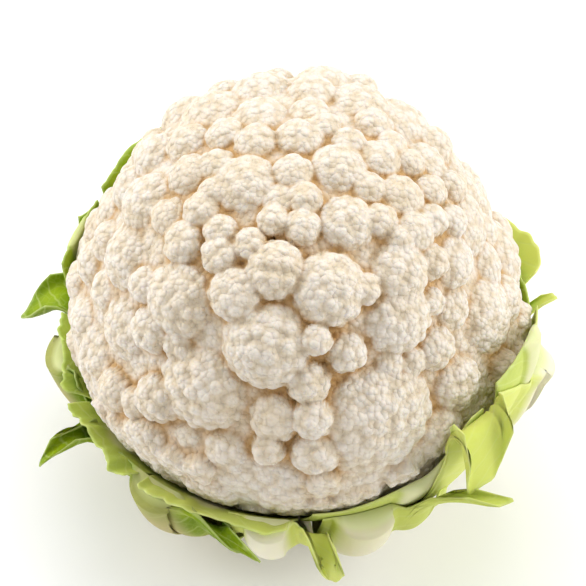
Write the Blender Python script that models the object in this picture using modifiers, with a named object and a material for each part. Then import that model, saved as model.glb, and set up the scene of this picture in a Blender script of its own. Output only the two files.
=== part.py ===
"""A trimmed head of cauliflower standing on its cut stalk.

The head is a domed curd of packed florets, a short stalk with a flat cut face, and two rings of
cut-back leaves that cup the curd from below. Each leaf is a thick pale rib with thin wings, and
some wings end in tongues that curl outwards. The stalk's cut face lies on the plane z = 0, with
the z axis through its middle. Sizes are in metres.
"""

import math
from dataclasses import dataclass

import bmesh
import bpy
import numpy as np
from mathutils import Vector

MM = 0.001

# The curd is a dome on a flat neck. Angles of its florets are an azimuth from +X towards +Y and
# a tilt down from the top, both in degrees.
CURD_RADIUS = 85 * MM
CURD_MID_HEIGHT = 85 * MM
CURD_RISE = 81 * MM
CURD_DROP = 76 * MM
NECK_HEIGHT = 25 * MM
SHOULDER_SLIM = 0.07
SHOULDER_SLIM_MORE = 0.02
SHOULDER_SLIM_SIDE = 30
SHOULDER_TILT = 66
SHOULDER_SPAN = 27
FLORET_TILT_LIMIT = 122
FINE_ABOVE = -0.53
SEED = 7

# The stalk under the curd.
STALK_FOOT_RADIUS = 27 * MM
STALK_TOP_RADIUS = 31 * MM
STALK_TOP_HEIGHT = 24.6 * MM
STALK_CUT_BEVEL = 1.5 * MM
STALK_SIDES = 40
CUT_EDGE_ANGLE = 40

# The line, as radius and height, that the inner faces of the inner leaves follow upwards.
LEAF_LINE = [
    (31.5, 19), (40, 20.4), (48, 23.5), (62, 33), (73.5, 45),
    (82, 58.5), (86.8, 73), (88.6, 88), (87.5, 104),
]  # fmt: skip
LINE_STEPS = 20
SLOPE_STEP = 2 * MM
LEAF_GAP = 1.9 * MM
OUTER_BOW = 4.5 * MM
BOW_OVER = 72 * MM
BOW_SKEW = 1.3
CURD_CLEAR_OF_LEAVES = 1.1 * MM
BLADE = 1.0 * MM
BLADE_AT_STALK = 3.0 * MM
BLADE_THINS_OVER = 26 * MM
# A rib is a little wider and a good deal thinner at the stalk than higher up.
RIB_WIDER_AT_STALK = 1.15
RIB_WIDTH_ABOVE = 0.95
RIB_NARROWS_OVER = 60 * MM
RIB_AT_STALK = 0.68
RIB_GROWS_OVER = 45 * MM
RIB_ROUNDNESS = 0.75
RIB_ENDS_OVER = 12 * MM
# Towards its cut end a leaf is a little narrower, and its sides rise over this much of its width.
END_NARROWS_FROM = 0.75
END_NARROWER = 0.1
SIDE_RISES_BY = 0.77


def steps(value):
    """0 below 0, 1 above 1, and an S between them."""
    value = np.clip(value, 0.0, 1.0)
    return value * value * (3 - 2 * value)


@dataclass(frozen=True)
class Floret:
    """One floret of the curd: the ball that it is built on, by its middle from the curd's middle."""

    middle: tuple
    radius: float


# The florets of the front, as an eye sees them from 50 degrees above the table. Each is how far to
# the right and up it lies from the curd's middle, its half width, and how far it stands out.
EYE_ELEVATION = 50
EYE_DISTANCE = 800
SEEN_FLORETS = [
    # The large ones along the bottom and the lower sides.
    (24, -43, 23, 2.5), (6, -46.5, 7, 3), (7, -58.5, 8.5, 2), (4, -33, 7.5, 2), (18, -22, 7, 0.5),
    (-7.5, -45.5, 9, 0), (-5, -65, 15.5, 2), (-25, -57, 8.5, -1), (-48, -62, 16, 2), (-30, -72, 8, 3),
    (-62, -53, 7.5, 2), (-38.5, -52, 6, -3), (25.5, -70, 12, 2.5), (50, -50, 10.5, 1.5), (44, -63, 9, 3),
    # The ring above them.
    (-62.5, -24.5, 19.5, 0.5), (-52.5, -13.5, 8, 1), (-50.5, -39, 8.5, 1.5), (-76.5, -12, 9.5, 0),
    (-31.5, -33, 16.5, 1.5), (-10, -18, 15.5, 3), (7.5, -17.5, 5, 2), (-40.5, -2, 13.5, 1),
    (-22, -0.5, 9.5, 1), (-8, 8, 10, 2.5), (11.5, 1, 12.5, 2.5), (25.5, 1, 5, -1), (36.5, 7, 11, 0.5),
    (35, -8.5, 13, 1), (50, -20.5, 7.5, 0), (56.5, -33.5, 10.5, 0), (64, -9.5, 14.5, 0), (49, -3.5, 4.5, -1),
    (55, 11, 9.5, 0), (67, 9, 8.5, 0), (77, -3, 8.5, 0),
    # The small ones round the top.
    (-18.5, 38, 11, 1), (-1.5, 43.5, 6.5, 0.5), (3, 34, 5.5, 0), (2, 23.5, 6, 0), (18, 24.5, 9.5, 0.5),
    (15, 44, 9.5, 0.5), (-9, 26, 5, 0), (-17.5, 17.5, 5.5, 0.5), (-28, 22, 5.5, 0), (-28, 13.5, 6.5, 0.5),
    (-35, 30, 6, 0.5), (-41.5, 18, 7, 0.5), (-39, 42.5, 7.5, 0.5), (-29.5, 46, 6, 0), (-30.5, 36.5, 5, 0),
    (-15, 54.5, 7, 0.5), (-26, 57, 6.5, 0), (1, 55.5, 8, 0.5), (10.5, 60.5, 5, 0), (19, 54.5, 5.5, 0),
    (28, 60, 6.5, 0), (30, 48, 7, 0.5), (37.5, 34, 8, 0.5), (42.5, 22, 7, 0.5), (30.5, 26, 5.5, 0),
    (38, 19, 4.5, 0), (41, 47, 5, -0.5), (49, 37, 5.5, 0), (49.5, 26, 5.5, 0), (56.5, 26, 5.5, 0),
    (61, 36, 6.5, 0), (67, 22, 6.5, 0), (-53.5, 32, 10.5, 0.5), (-68.5, 29.5, 8.5, 0), (-59, 12.5, 11.5, 0.5),
    (-74.5, 11, 8.5, 0), (-50.5, 49, 8.5, 0), (-55.5, 2.5, 6, 0), (-39.5, 62, 8.5, 0), (49, 52.5, 7.5, 0),
]  # fmt: skip
SEEN_ROUNDS = 8
# Each is wider than it looks, because its neighbours press into it.
FLORET_SWELL = 1.1
EDGE_ON = 0.985
# The rest of the dome is filled by florets that widen from the top towards the rim.
FILL_TRIES = 6000
FILL_SPACING = 0.8
FILL_TOP_WIDTH = 9.0 * MM
FILL_RIM_WIDTH = 16.0 * MM
FILL_LEAST_WIDTH = 5.5 * MM
FILL_RIM_TILT = 80
FILL_SHRINK = 0.7
FILL_SINK = (-2.0, 0.0)
# Low down, where the leaves hold them, they stand out a little more.
LOW_RISE = 5.0 * MM
LOW_TILT = 82
LOW_OVER = 14

# A floret is a ball, covered with lobes that are set in a spiral round its top.
LOBE_SHARE = 0.42
LOBE_LEAST = 4.2 * MM
LOBE_MOST = 9.0 * MM
LOBE_SPACING = 1.05
LOBE_SUNK = 0.82
LOBE_LOWEST = -0.15
LOBES_LEAST = 5
LOBE_AT_TOP = 0.85
LOBE_AT_SIDE = 1.1
LOBE_TURN = 1.3
CLOSE_PACKING = 0.87
CREASE_SOFTNESS = 0.3 * MM
FLESH_DEPTH = 0.925
FLORET_FLATNESS = 0.8
GOLDEN_ANGLE = math.pi * (3 - math.sqrt(5))


@dataclass(frozen=True)
class Tongue:
    """A strip of a wing that is longer than the rest and curls outwards.

    at and half are along the leaf's width, from -1 to 1. length, curl_from and curl are in
    millimetres: how much longer it is, where along the leaf it starts to curl, and its radius.
    most_turn is how far it curls, in degrees, and lean how many degrees it shifts sideways for
    each 10 mm that it is free.
    """

    at: float
    half: float
    length: float
    curl_from: float
    curl: float
    most_turn: float = 150.0
    lean: float = 0.0


@dataclass(frozen=True)
class Leaf:
    """One leaf: its azimuth and its reach to each side in degrees, and its lengths in millimetres.

    length is along its rib, and right_rise and left_rise are how much longer its sides are. rib and
    rib_half are the rib's thickness and half width.
    """

    name: str
    ring: int
    azimuth: float
    right: float
    left: float
    length: float
    right_rise: float = 3.0
    left_rise: float = 3.0
    rib: float = 4.0
    rib_half: float = 9.0
    tongues: tuple = ()
    columns: int = 8


# Right is towards a larger azimuth, which is to the right for someone who looks at the leaf's
# outside. The inner leaves only meet each other, and the outer ones overlap.
INNER_LEAVES = [
    Leaf("leaf_inner_1", 0, 132, 16, 14, 103, -5, 1, tongues=(Tongue(0, 1.3, 0, 84, 80, 25),)),
    Leaf("leaf_inner_2", 0, 160, 13, 12, 92),
    Leaf("leaf_inner_3", 0, 187, 13, 14, 72),
    Leaf("leaf_inner_4", 0, 214, 15, 13, 70),
    Leaf("leaf_inner_5", 0, 246, 25, 17, 71),
    Leaf("leaf_inner_6", 0, 300, 19, 30, 76, 26, -5),
    Leaf("leaf_inner_7", 0, 340, 18, 20, 108, -14, 1),
    Leaf("leaf_inner_8", 0, 18, 20, 20, 80),
    Leaf("leaf_inner_9", 0, 58, 20, 20, 88),
    Leaf("leaf_inner_10", 0, 95, 23, 17, 94),
]
OUTER_LEAVES = [
    Leaf("leaf_outer_1", 1, 183, 17, 25, 68, 4, 0, 11, 13, (Tongue(-0.68, 0.34, 22, 62, 9, 95),), 10),
    Leaf("leaf_outer_2", 1, 234, 20, 29, 68, 2, 0, 11, 13.5,
         (Tongue(-0.90, 0.09, 21, 60, 16, 115), Tongue(0.64, 0.32, 5, 64, 9, 95, 11)), 12),
    Leaf("leaf_outer_3", 1, 263, 14, 11, 68, 0, 0, 9, 9.5, (Tongue(0.80, 0.26, 36, 63, 5, 165, 2),), 8),
    Leaf("leaf_outer_4", 1, 287, 24, 12, 68, 0, 0, 10, 12.5, (Tongue(0.58, 0.14, 33, 69, 26, 70, 4.5),), 10),
    Leaf("leaf_outer_5", 1, 350, 22, 48, 76, -2, 32, 10, 12.5,
         (Tongue(-0.74, 0.17, 26, 101, 4, 170), Tongue(0.72, 0.14, 16, 70, 24, 45)), 14),
    Leaf("leaf_outer_6", 1, 36, 27, 26, 82, 2, 2, 10, 12.5, (Tongue(-0.55, 0.6, 3, 68, 24, 18),), 10),
    Leaf("leaf_outer_7", 1, 88, 26, 26, 82, 3, 3, 10, 12.5, (), 10),
    Leaf("leaf_outer_8", 1, 136, 21, 23, 88, 4, 3, 10, 12.5, (), 10),
]  # fmt: skip
LEAF_ROWS = 8
ROWS_TO_TOP = 0.9
LEAN_PER = 10 * MM
TONGUE_FLANK = 0.8
TONGUE_COLUMNS = (-1, -0.55, -0.15, 0.25, 0.65, 1)
# Where neighbours overlap, the right side of one lies outside the left side of the next. Close to
# the stalk they only meet, a small gap apart, and they spread into each other further up.
TUCK_LEAD = 8.0
TUCK_GAP = 2.3 * MM
SEAM_GAP = 1.3 * MM
SPREAD_FROM = 12 * MM
SPREAD_OVER = 22 * MM

CREAM = (0.86, 0.78, 0.62)
PALE_GREEN = (0.62, 0.70, 0.36)
LEAF_GREEN = (0.34, 0.50, 0.10)
STALK_CREAM = (0.78, 0.76, 0.55)


def clear_scene():
    """Removes every object, and gives back a new collection for the head."""
    for thing in list(bpy.data.objects):
        bpy.data.objects.remove(thing)
    collection = bpy.data.collections.new("cauliflower")
    bpy.context.scene.collection.children.link(collection)
    return collection


def material(name, colour, roughness):
    """A plain finish of one colour."""
    made = bpy.data.materials.new(name)
    made.use_nodes = True
    shader = made.node_tree.nodes["Principled BSDF"]
    shader.inputs["Base Color"].default_value = (*colour, 1)
    shader.inputs["Roughness"].default_value = roughness
    shader.inputs["Metallic"].default_value = 0
    return made


def object_from(bm, name, collection, finish):
    """Makes an object of the bmesh, shaded smooth, and frees the bmesh."""
    mesh = bpy.data.meshes.new(name)
    bm.to_mesh(mesh)
    bm.free()
    mesh.shade_smooth()
    mesh.materials.append(finish)
    made = bpy.data.objects.new(name, mesh)
    collection.objects.link(made)
    return made


def direction(azimuth, tilt):
    """The unit vector at an azimuth and a tilt from the top, in degrees."""
    azimuth = np.radians(azimuth)
    tilt = np.radians(tilt)
    across = np.sin(tilt)
    return np.stack([across * np.cos(azimuth), across * np.sin(azimuth), np.cos(tilt)], axis=-1)


def dome_reach(way):
    """How far the plain dome lies from the curd's middle, along unit vectors."""
    up = way[..., 2]
    height = np.where(up > 0, CURD_RISE, CURD_DROP)
    reach = 1 / np.sqrt((1 - up * up) / CURD_RADIUS**2 + up * up / height**2)
    tilt = np.degrees(np.arccos(np.clip(up, -1, 1)))
    azimuth = np.arctan2(way[..., 1], way[..., 0])
    slim = SHOULDER_SLIM + SHOULDER_SLIM_MORE * np.cos(azimuth - math.radians(SHOULDER_SLIM_SIDE))
    return reach * (1 - slim * steps(1 - np.abs(tilt - SHOULDER_TILT) / SHOULDER_SPAN))


def lobe_radius(radius):
    """How large the lobes are on a floret of this radius."""
    return min(max(LOBE_SHARE * radius, LOBE_LEAST), LOBE_MOST)


def floret_rise(radius):
    """How far a floret of this radius stands out from its middle, over the lobe on its top."""
    lobe = LOBE_AT_TOP * lobe_radius(radius)
    return FLORET_FLATNESS * (radius - LOBE_SUNK * lobe) + lobe


def seen_floret(across, upward, half, rise):
    """The floret that the eye sees at this place, with all four sizes in millimetres."""
    elevation = math.radians(EYE_ELEVATION)
    toward_eye = np.array([0, -math.cos(elevation), math.sin(elevation)])
    screen_up = np.array([0, math.sin(elevation), math.cos(elevation)])
    seen = (np.array([across, 0, 0]) + upward * screen_up) * MM
    way = toward_eye
    nearer = 1.0
    for _ in range(SEEN_ROUNDS):
        radius = FLORET_SWELL * half * nearer * MM
        reach = dome_reach(way) + rise * MM - floret_rise(radius)
        aside = seen * nearer
        aside *= min(EDGE_ON * reach / np.linalg.norm(aside), 1)
        depth = math.sqrt(reach * reach - aside @ aside)
        nearer = 1 - depth / (EYE_DISTANCE * MM)
        way = (aside + depth * toward_eye) / reach
    return Floret(tuple(way * reach), radius)


def all_florets():
    """The florets seen from the front, then those that fill the rest of the dome."""
    draw = np.random.default_rng(SEED)
    florets = [seen_floret(*sizes) for sizes in SEEN_FLORETS]
    lowest = math.cos(math.radians(FLORET_TILT_LIMIT))
    for attempt in range(FILL_TRIES):
        up = draw.uniform(lowest, 1)
        azimuth = draw.uniform(0, 360)
        tilt = math.degrees(math.acos(up))
        widest = FILL_TOP_WIDTH + (FILL_RIM_WIDTH - FILL_TOP_WIDTH) * min(tilt / FILL_RIM_TILT, 1)
        radius = max(widest * (1 - FILL_SHRINK * attempt / FILL_TRIES), FILL_LEAST_WIDTH)
        way = direction(azimuth, tilt)
        rise = draw.uniform(*FILL_SINK) * MM + LOW_RISE * steps((tilt - LOW_TILT) / LOW_OVER)
        middle = (dome_reach(way) - floret_rise(radius) + rise) * way
        apart = np.linalg.norm(np.array([f.middle for f in florets]) - middle, axis=1)
        if (apart > FILL_SPACING * (np.array([f.radius for f in florets]) + radius)).all():
            florets.append(Floret(tuple(middle), radius))
    return florets


def across_axes(way):
    """Two unit vectors at right angles to this one and to each other."""
    helper = np.array([0.0, 0.0, 1.0]) if abs(way[2]) < 0.9 else np.array([1.0, 0.0, 0.0])
    first = np.cross(helper, way)
    first /= np.linalg.norm(first)
    return first, np.cross(way, first)


def lobes_of(floret, turn):
    """Middles and radii of one floret's lobes."""
    middle = np.array(floret.middle)
    way = middle / np.linalg.norm(middle)
    first, second = across_axes(way)
    radius = lobe_radius(floret.radius)
    skin = (1 - LOBE_LOWEST) * 2 * math.pi * floret.radius**2
    count = max(round(skin / (CLOSE_PACKING * (LOBE_SPACING * radius) ** 2)), LOBES_LEAST)
    middles = []
    radii = []
    for index in range(count):
        up = 1 - (index + 0.5) / count * (1 - LOBE_LOWEST)
        aside = math.sqrt(1 - up * up)
        angle = turn + index * GOLDEN_ANGLE
        grown = radius * (LOBE_AT_TOP + (LOBE_AT_SIDE - LOBE_AT_TOP) * aside)
        across = math.cos(angle) * first + math.sin(angle) * second
        out = FLORET_FLATNESS * up * way + aside * across
        middles.append(middle + (floret.radius - LOBE_SUNK * grown) * out)
        radii.append(grown)
    return middles, radii


def curd_lobes():
    """Middles and radii of every lobe of the curd, about the curd's own middle."""
    middles = []
    radii = []
    for index, floret in enumerate(all_florets()):
        places, sizes = lobes_of(floret, index * LOBE_TURN)
        middles += places
        radii += sizes
    return np.array(middles), np.array(radii)


def reach_over_lobes(ways, middles, radii):
    """How far out each ray from the curd's middle leaves the last lobe that it crosses."""
    along = ways @ middles.T
    inside = along**2 - (middles**2).sum(axis=1) + radii**2
    far = np.where(inside > 0, along + np.sqrt(np.maximum(inside, 0)), 0)
    most = far.max(axis=1)
    near = np.exp((far - most[:, None]) / CREASE_SOFTNESS).sum(axis=1)
    return most + CREASE_SOFTNESS * np.log(near)


def reach_to_leaves(ways):
    """How far rays from the curd's middle go before they come close to the leaves that cup it."""
    radius = LINE.points[:, 0]
    height = LINE.points[:, 1] - CURD_MID_HEIGHT
    tilts = np.arctan2(radius, height)[::-1]
    reach = np.hypot(radius, height)[::-1] - CURD_CLEAR_OF_LEAVES
    return np.interp(np.arccos(np.clip(ways[:, 2], -1, 1)), tilts, reach, left=np.inf, right=np.inf)


def make_curd(collection, finish):
    """The curd: a ball whose points move out to the lobes, over a smooth underside and a flat neck."""
    bm = bmesh.new()
    bmesh.ops.create_icosphere(bm, subdivisions=4, radius=1)
    fine = [e for e in bm.edges if min(v.co.z for v in e.verts) > FINE_ABOVE]
    bmesh.ops.subdivide_edges(bm, edges=fine, cuts=2, use_grid_fill=True)
    bmesh.ops.triangulate(bm, faces=bm.faces[:])
    ways = np.array([v.co.normalized()[:] for v in bm.verts])
    middles, radii = curd_lobes()
    tilts = np.degrees(np.arccos(np.clip(ways[:, 2], -1, 1)))
    under = dome_reach(ways) * FLESH_DEPTH + LOW_RISE * steps((tilts - LOW_TILT) / LOW_OVER)
    reach = np.maximum(reach_over_lobes(ways, middles, radii), under)
    neck = CURD_MID_HEIGHT - NECK_HEIGHT
    down = np.maximum(-ways[:, 2], 1e-6)
    reach = np.where(ways[:, 2] < 0, np.minimum(reach, neck / down), reach)
    reach = np.minimum(reach, reach_to_leaves(ways))
    for vert, way, far in zip(bm.verts, ways, reach):
        vert.co = Vector(way * far) + Vector((0, 0, CURD_MID_HEIGHT))
    bmesh.ops.recalc_face_normals(bm, faces=bm.faces[:])
    return object_from(bm, "curd", collection, finish)


def make_stalk(collection, finish):
    """The stalk: a short tapered cylinder with a flat cut foot."""
    bm = bmesh.new()
    bmesh.ops.create_cone(
        bm, cap_ends=True, segments=STALK_SIDES,
        radius1=STALK_FOOT_RADIUS, radius2=STALK_TOP_RADIUS, depth=STALK_TOP_HEIGHT,
    )  # fmt: skip
    bmesh.ops.translate(bm, verts=bm.verts[:], vec=(0, 0, STALK_TOP_HEIGHT / 2))
    made = object_from(bm, "stalk", collection, finish)
    made.data.set_sharp_from_angle(angle=math.radians(CUT_EDGE_ANGLE))
    edge = made.modifiers.new("cut edge", "BEVEL")
    edge.width = STALK_CUT_BEVEL
    edge.segments = 2
    edge.limit_method = "ANGLE"
    return made


class LeafLine:
    """The smooth line that the leaves follow upwards, by its length in metres."""

    def __init__(self, points):
        """Takes points of radius and height in millimetres."""
        corners = np.array(points, float) * MM
        fine = self.through(corners)
        length = np.concatenate([[0], np.cumsum(np.linalg.norm(np.diff(fine, axis=0), axis=1))])
        self.length = length
        self.points = fine

    @staticmethod
    def through(corners):
        """A Catmull-Rom curve through the corners, as many short steps."""
        padded = np.vstack([2 * corners[0] - corners[1], corners, 2 * corners[-1] - corners[-2]])
        pieces = []
        for a, b, c, d in zip(padded, padded[1:], padded[2:], padded[3:]):
            t = np.linspace(0, 1, LINE_STEPS, endpoint=False)[:, None]
            square = (2 * a - 5 * b + 4 * c - d) * t**2
            cube = (3 * b - a - 3 * c + d) * t**3
            pieces.append(0.5 * (2 * b + (c - a) * t + square + cube))
        return np.vstack([*pieces, corners[-1:]])

    def at(self, length):
        """Radius, height, and the two parts of the upward unit tangent at these lengths."""
        radius, height = self.place(length)
        low = self.place(np.clip(length - SLOPE_STEP, 0, self.length[-1]))
        high = self.place(np.clip(length + SLOPE_STEP, 0, self.length[-1]))
        across = high[0] - low[0]
        upward = high[1] - low[1]
        size = np.hypot(across, upward)
        return radius, height, across / size, upward / size

    def place(self, length):
        """Radius and height at these lengths."""
        radius = np.interp(length, self.length, self.points[:, 0])
        return radius, np.interp(length, self.length, self.points[:, 1])


LINE = LeafLine(LEAF_LINE)


def turn_between(azimuth, middle):
    """The signed angle from middle to azimuth, in degrees, from -180 to 180."""
    return (azimuth - middle + 180) % 360 - 180


def thickness(leaf, azimuth, length):
    """How thick the leaf is at an azimuth in degrees and a length along it in metres."""
    radius = LINE.at(length)[0]
    aside = np.radians(turn_between(azimuth, leaf.azimuth)) * radius
    wider = RIB_WIDER_AT_STALK + (RIB_WIDTH_ABOVE - RIB_WIDER_AT_STALK) * steps(length / RIB_NARROWS_OVER)
    half = leaf.rib_half * MM * wider
    blade = BLADE_AT_STALK + (BLADE - BLADE_AT_STALK) * steps(length / BLADE_THINS_OVER)
    rib = leaf.rib * MM * (RIB_AT_STALK + (1 - RIB_AT_STALK) * steps(length / RIB_GROWS_OVER))
    share = np.clip(1 - (aside / half) ** 2, 0, 1) ** RIB_ROUNDNESS
    return blade + (rib - blade) * share


def neighbour(leaf, step):
    """The leaf that many places along in the same ring."""
    ring = OUTER_LEAVES if leaf.ring else INNER_LEAVES
    return ring[(ring.index(leaf) + step) % len(ring)]


def reaches(leaf, length):
    """How many degrees the leaf reaches to its right and left, at a length along it in metres."""
    spread = steps((length - SPREAD_FROM) / SPREAD_OVER) * leaf.ring
    gap = np.degrees(SEAM_GAP / LINE.at(length)[0]) / 2
    found = []
    for step, own in ((1, leaf.right), (-1, leaf.left)):
        other = neighbour(leaf, step)
        facing = other.left if step > 0 else other.right
        between = abs(turn_between(other.azimuth, leaf.azimuth))
        seam = np.minimum(own, between * own / (own + facing) - gap)
        found.append(seam + (own - seam) * spread)
    return found


def start_height(leaf, azimuth, length):
    """How far outside the leaf line the leaf's inner face lies."""
    if leaf.ring == 0:
        return np.zeros(np.broadcast(azimuth, length).shape)
    bow = OUTER_BOW * np.sin(math.pi * np.clip(length / BOW_OVER, 0, 1) ** BOW_SKEW)
    under = np.zeros(np.broadcast(azimuth, length).shape)
    for inner in INNER_LEAVES:
        under = np.maximum(under, thickness(inner, azimuth, length))
    following = neighbour(leaf, 1)
    past = turn_between(azimuth, following.azimuth) + following.left + TUCK_LEAD
    over = steps(past / TUCK_LEAD) * (thickness(following, azimuth, length) + TUCK_GAP)
    return under + LEAF_GAP + bow + over * steps(length / SPREAD_FROM)


def leaf_points(leaf, across, along):
    """Points of the leaf's inner face and its thickness, for grids of -1..1 across and 0..1 along."""
    side = steps(np.abs(across) / SIDE_RISES_BY)
    top = leaf.length + side * np.where(across > 0, leaf.right_rise, leaf.left_rise)
    bend = np.zeros_like(across)
    bend_from = np.full_like(across, LINE.length[-1])
    most = np.zeros_like(across)
    lean = np.zeros_like(across)
    for tongue in leaf.tongues:
        share = steps((1 - np.abs(across - tongue.at) / tongue.half) / TONGUE_FLANK)
        top = top + tongue.length * share
        bend = np.maximum(bend, share / (tongue.curl * MM))
        bend_from = np.where(share > 0, tongue.curl_from * MM, bend_from)
        most = np.where(share > 0, math.radians(tongue.most_turn), most)
        lean = np.where(share > 0, tongue.lean / LEAN_PER, lean)
    length = along * top * MM
    held = np.minimum(length, bend_from)
    free = length - held
    right, left = reaches(leaf, held)
    near_end = steps((along - END_NARROWS_FROM) / (1 - END_NARROWS_FROM))
    narrow = 1 - END_NARROWER * near_end * np.abs(across)
    azimuth = leaf.azimuth + across * np.where(across > 0, right, left) * narrow
    radius, height, over, up = LINE.at(held)
    out = start_height(leaf, azimuth, held)
    angle = np.minimum(free * bend, most)
    curve = np.maximum(bend, 1e-6)
    arc = np.where(bend > 0, angle / curve, 0)
    rise = np.where(bend > 0, np.sin(angle) / curve, 0) + (free - arc) * np.cos(angle)
    swing = np.where(bend > 0, (1 - np.cos(angle)) / curve, 0) + (free - arc) * np.sin(angle)
    far = radius + out * up + rise * over + swing * up
    high = height - out * over + rise * up - swing * over
    spin = np.radians(azimuth + lean * (free + swing) / 2)
    points = np.stack([far * np.cos(spin), far * np.sin(spin), high], axis=-1)
    thick = thickness(leaf, azimuth, held)
    thick = BLADE + (thick - BLADE) * (1 - steps(free / RIB_ENDS_OVER))
    return points, thick


def column_places(leaf):
    """Where the leaf's mesh has its columns, from -1 to 1, closer together across its tongues."""
    places = set()
    for tongue in leaf.tongues:
        places |= {round(tongue.at + tongue.half * share, 3) for share in TONGUE_COLUMNS}
    for place in np.linspace(-1, 1, leaf.columns + 1):
        if all(abs(place - tongue.at) > 1.2 * tongue.half for tongue in leaf.tongues) or abs(place) == 1:
            places.add(round(float(place), 3))
    return sorted(place for place in places if abs(place) <= 1)


def make_leaf(leaf, collection, finish):
    """One leaf: a sheet on its inner face, thickened outwards by the rib and the wings."""
    places = column_places(leaf)
    bm = bmesh.new()
    bmesh.ops.create_grid(bm, x_segments=len(places) - 1, y_segments=LEAF_ROWS, size=1)
    square = np.array([v.co[:] for v in bm.verts])
    across = np.interp(square[:, 0], np.linspace(-1, 1, len(places)), places)
    along = ((square[:, 1] + 1) / 2) ** ROWS_TO_TOP
    points, thick = leaf_points(leaf, across, along)
    for vert, point in zip(bm.verts, points):
        vert.co = Vector(point)
    bmesh.ops.triangulate(bm, faces=bm.faces[:])
    made = object_from(bm, leaf.name, collection, finish)
    most = float(thick.max())
    group = made.vertex_groups.new(name="thickness")
    for index, value in enumerate(thick):
        group.add([index], float(value) / most, "REPLACE")
    wall = made.modifiers.new("thickness", "SOLIDIFY")
    wall.thickness = most
    wall.offset = 1
    wall.vertex_group = group.name
    return made


def main():
    """Builds the curd, the stalk and the leaves."""
    collection = clear_scene()
    cream = material("curd cream", CREAM, 0.6)
    stalk_cream = material("stalk cream", STALK_CREAM, 0.5)
    pale = material("pale leaf green", PALE_GREEN, 0.45)
    green = material("leaf green", LEAF_GREEN, 0.4)
    make_curd(collection, cream)
    make_stalk(collection, stalk_cream)
    for leaf in INNER_LEAVES:
        make_leaf(leaf, collection, pale)
    for leaf in OUTER_LEAVES:
        make_leaf(leaf, collection, green)


main()
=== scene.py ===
"""Looks of a trimmed head of cauliflower that stands on a white table in soft, even light.

The curd is grown from balls in four steps, as the real one branches: florets, lobes, small lobes
and flower buds. The leaves follow the same line and seams as their solids, with veins, thin
wings, frayed ends and waved tongues added. Sizes are in metres unless a name says otherwise.
"""

import logging
import math
from dataclasses import dataclass, field
from enum import Enum
from typing import Any

import bpy
import numpy as np
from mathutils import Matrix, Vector
from mathutils.kdtree import KDTree


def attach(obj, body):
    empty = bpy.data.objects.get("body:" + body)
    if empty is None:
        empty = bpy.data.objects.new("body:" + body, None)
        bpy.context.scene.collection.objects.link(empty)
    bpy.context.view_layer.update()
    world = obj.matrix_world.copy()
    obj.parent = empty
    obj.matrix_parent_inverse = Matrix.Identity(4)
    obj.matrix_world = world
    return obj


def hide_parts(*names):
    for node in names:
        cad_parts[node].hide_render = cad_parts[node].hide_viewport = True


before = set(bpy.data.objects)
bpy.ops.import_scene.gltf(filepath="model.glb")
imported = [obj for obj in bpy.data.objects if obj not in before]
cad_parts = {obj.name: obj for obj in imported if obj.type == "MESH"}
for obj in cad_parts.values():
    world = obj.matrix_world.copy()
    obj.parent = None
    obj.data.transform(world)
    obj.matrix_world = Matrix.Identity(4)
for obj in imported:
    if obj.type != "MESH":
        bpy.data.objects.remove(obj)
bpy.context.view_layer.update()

MM = 0.001
# A wave starts at any phase, in radians.
PHASES = (0.0, 6.28)
log = logging.getLogger("cauliflower")


def linear(hex_colour: str) -> tuple[float, float, float, float]:
    """Turns an sRGB hex colour to linear light.

    Args:
        hex_colour: Six hex digits with a leading hash.

    Returns:
        Red, green, blue and an alpha of 1.
    """
    shares = [int(hex_colour[i : i + 2], 16) / 255 for i in (1, 3, 5)]
    bright = [c / 12.92 if c <= 0.04045 else ((c + 0.055) / 1.055) ** 2.4 for c in shares]
    return (bright[0], bright[1], bright[2], 1.0)


def add_node(
    tree: bpy.types.NodeTree, kind: str, values: dict[str | int, Any] | None = None
) -> bpy.types.Node:
    """Adds one node to a material.

    Args:
        tree: The material's node tree.
        kind: Blender's name for the node.
        values: Its properties by name, and its inputs by name or number. An input's value is
            either a constant or the output socket that feeds it.

    Returns:
        The new node.
    """
    node = tree.nodes.new(kind)
    for name, value in (values or {}).items():
        if name in node.bl_rna.properties.keys():
            setattr(node, name, value)
        elif isinstance(value, bpy.types.NodeSocket):
            tree.links.new(value, node.inputs[name])
        else:
            node.inputs[name].default_value = value
    return node


def new_material(name: str) -> tuple[bpy.types.Material, bpy.types.NodeTree, bpy.types.Node]:
    """Makes a material with a plain shader.

    Args:
        name: Its name.

    Returns:
        The material, its node tree and its shader.
    """
    made = bpy.data.materials.new(name)
    made.use_nodes = True
    return made, made.node_tree, made.node_tree.nodes["Principled BSDF"]


def soft_step(value: np.ndarray | float) -> np.ndarray:
    """0 below 0, 1 above 1, and an S between them."""
    value = np.clip(value, 0.0, 1.0)
    return value * value * (3 - 2 * value)


def mesh_from(name: str, points: np.ndarray, faces: np.ndarray) -> bpy.types.Mesh:
    """Makes a smooth mesh of faces that all have the same number of corners.

    Args:
        name: The mesh's name.
        points: One row of x, y, z for each point.
        faces: One row of point numbers for each face.

    Returns:
        The new mesh.
    """
    mesh = bpy.data.meshes.new(name)
    count, corners = faces.shape
    mesh.vertices.add(len(points))
    mesh.vertices.foreach_set("co", points.astype(np.float32).ravel())
    mesh.loops.add(count * corners)
    mesh.loops.foreach_set("vertex_index", faces.astype(np.int32).ravel())
    mesh.polygons.add(count)
    mesh.polygons.foreach_set("loop_start", np.arange(count, dtype=np.int32) * corners)
    mesh.update(calc_edges=True)
    mesh.shade_smooth()
    return mesh


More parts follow.
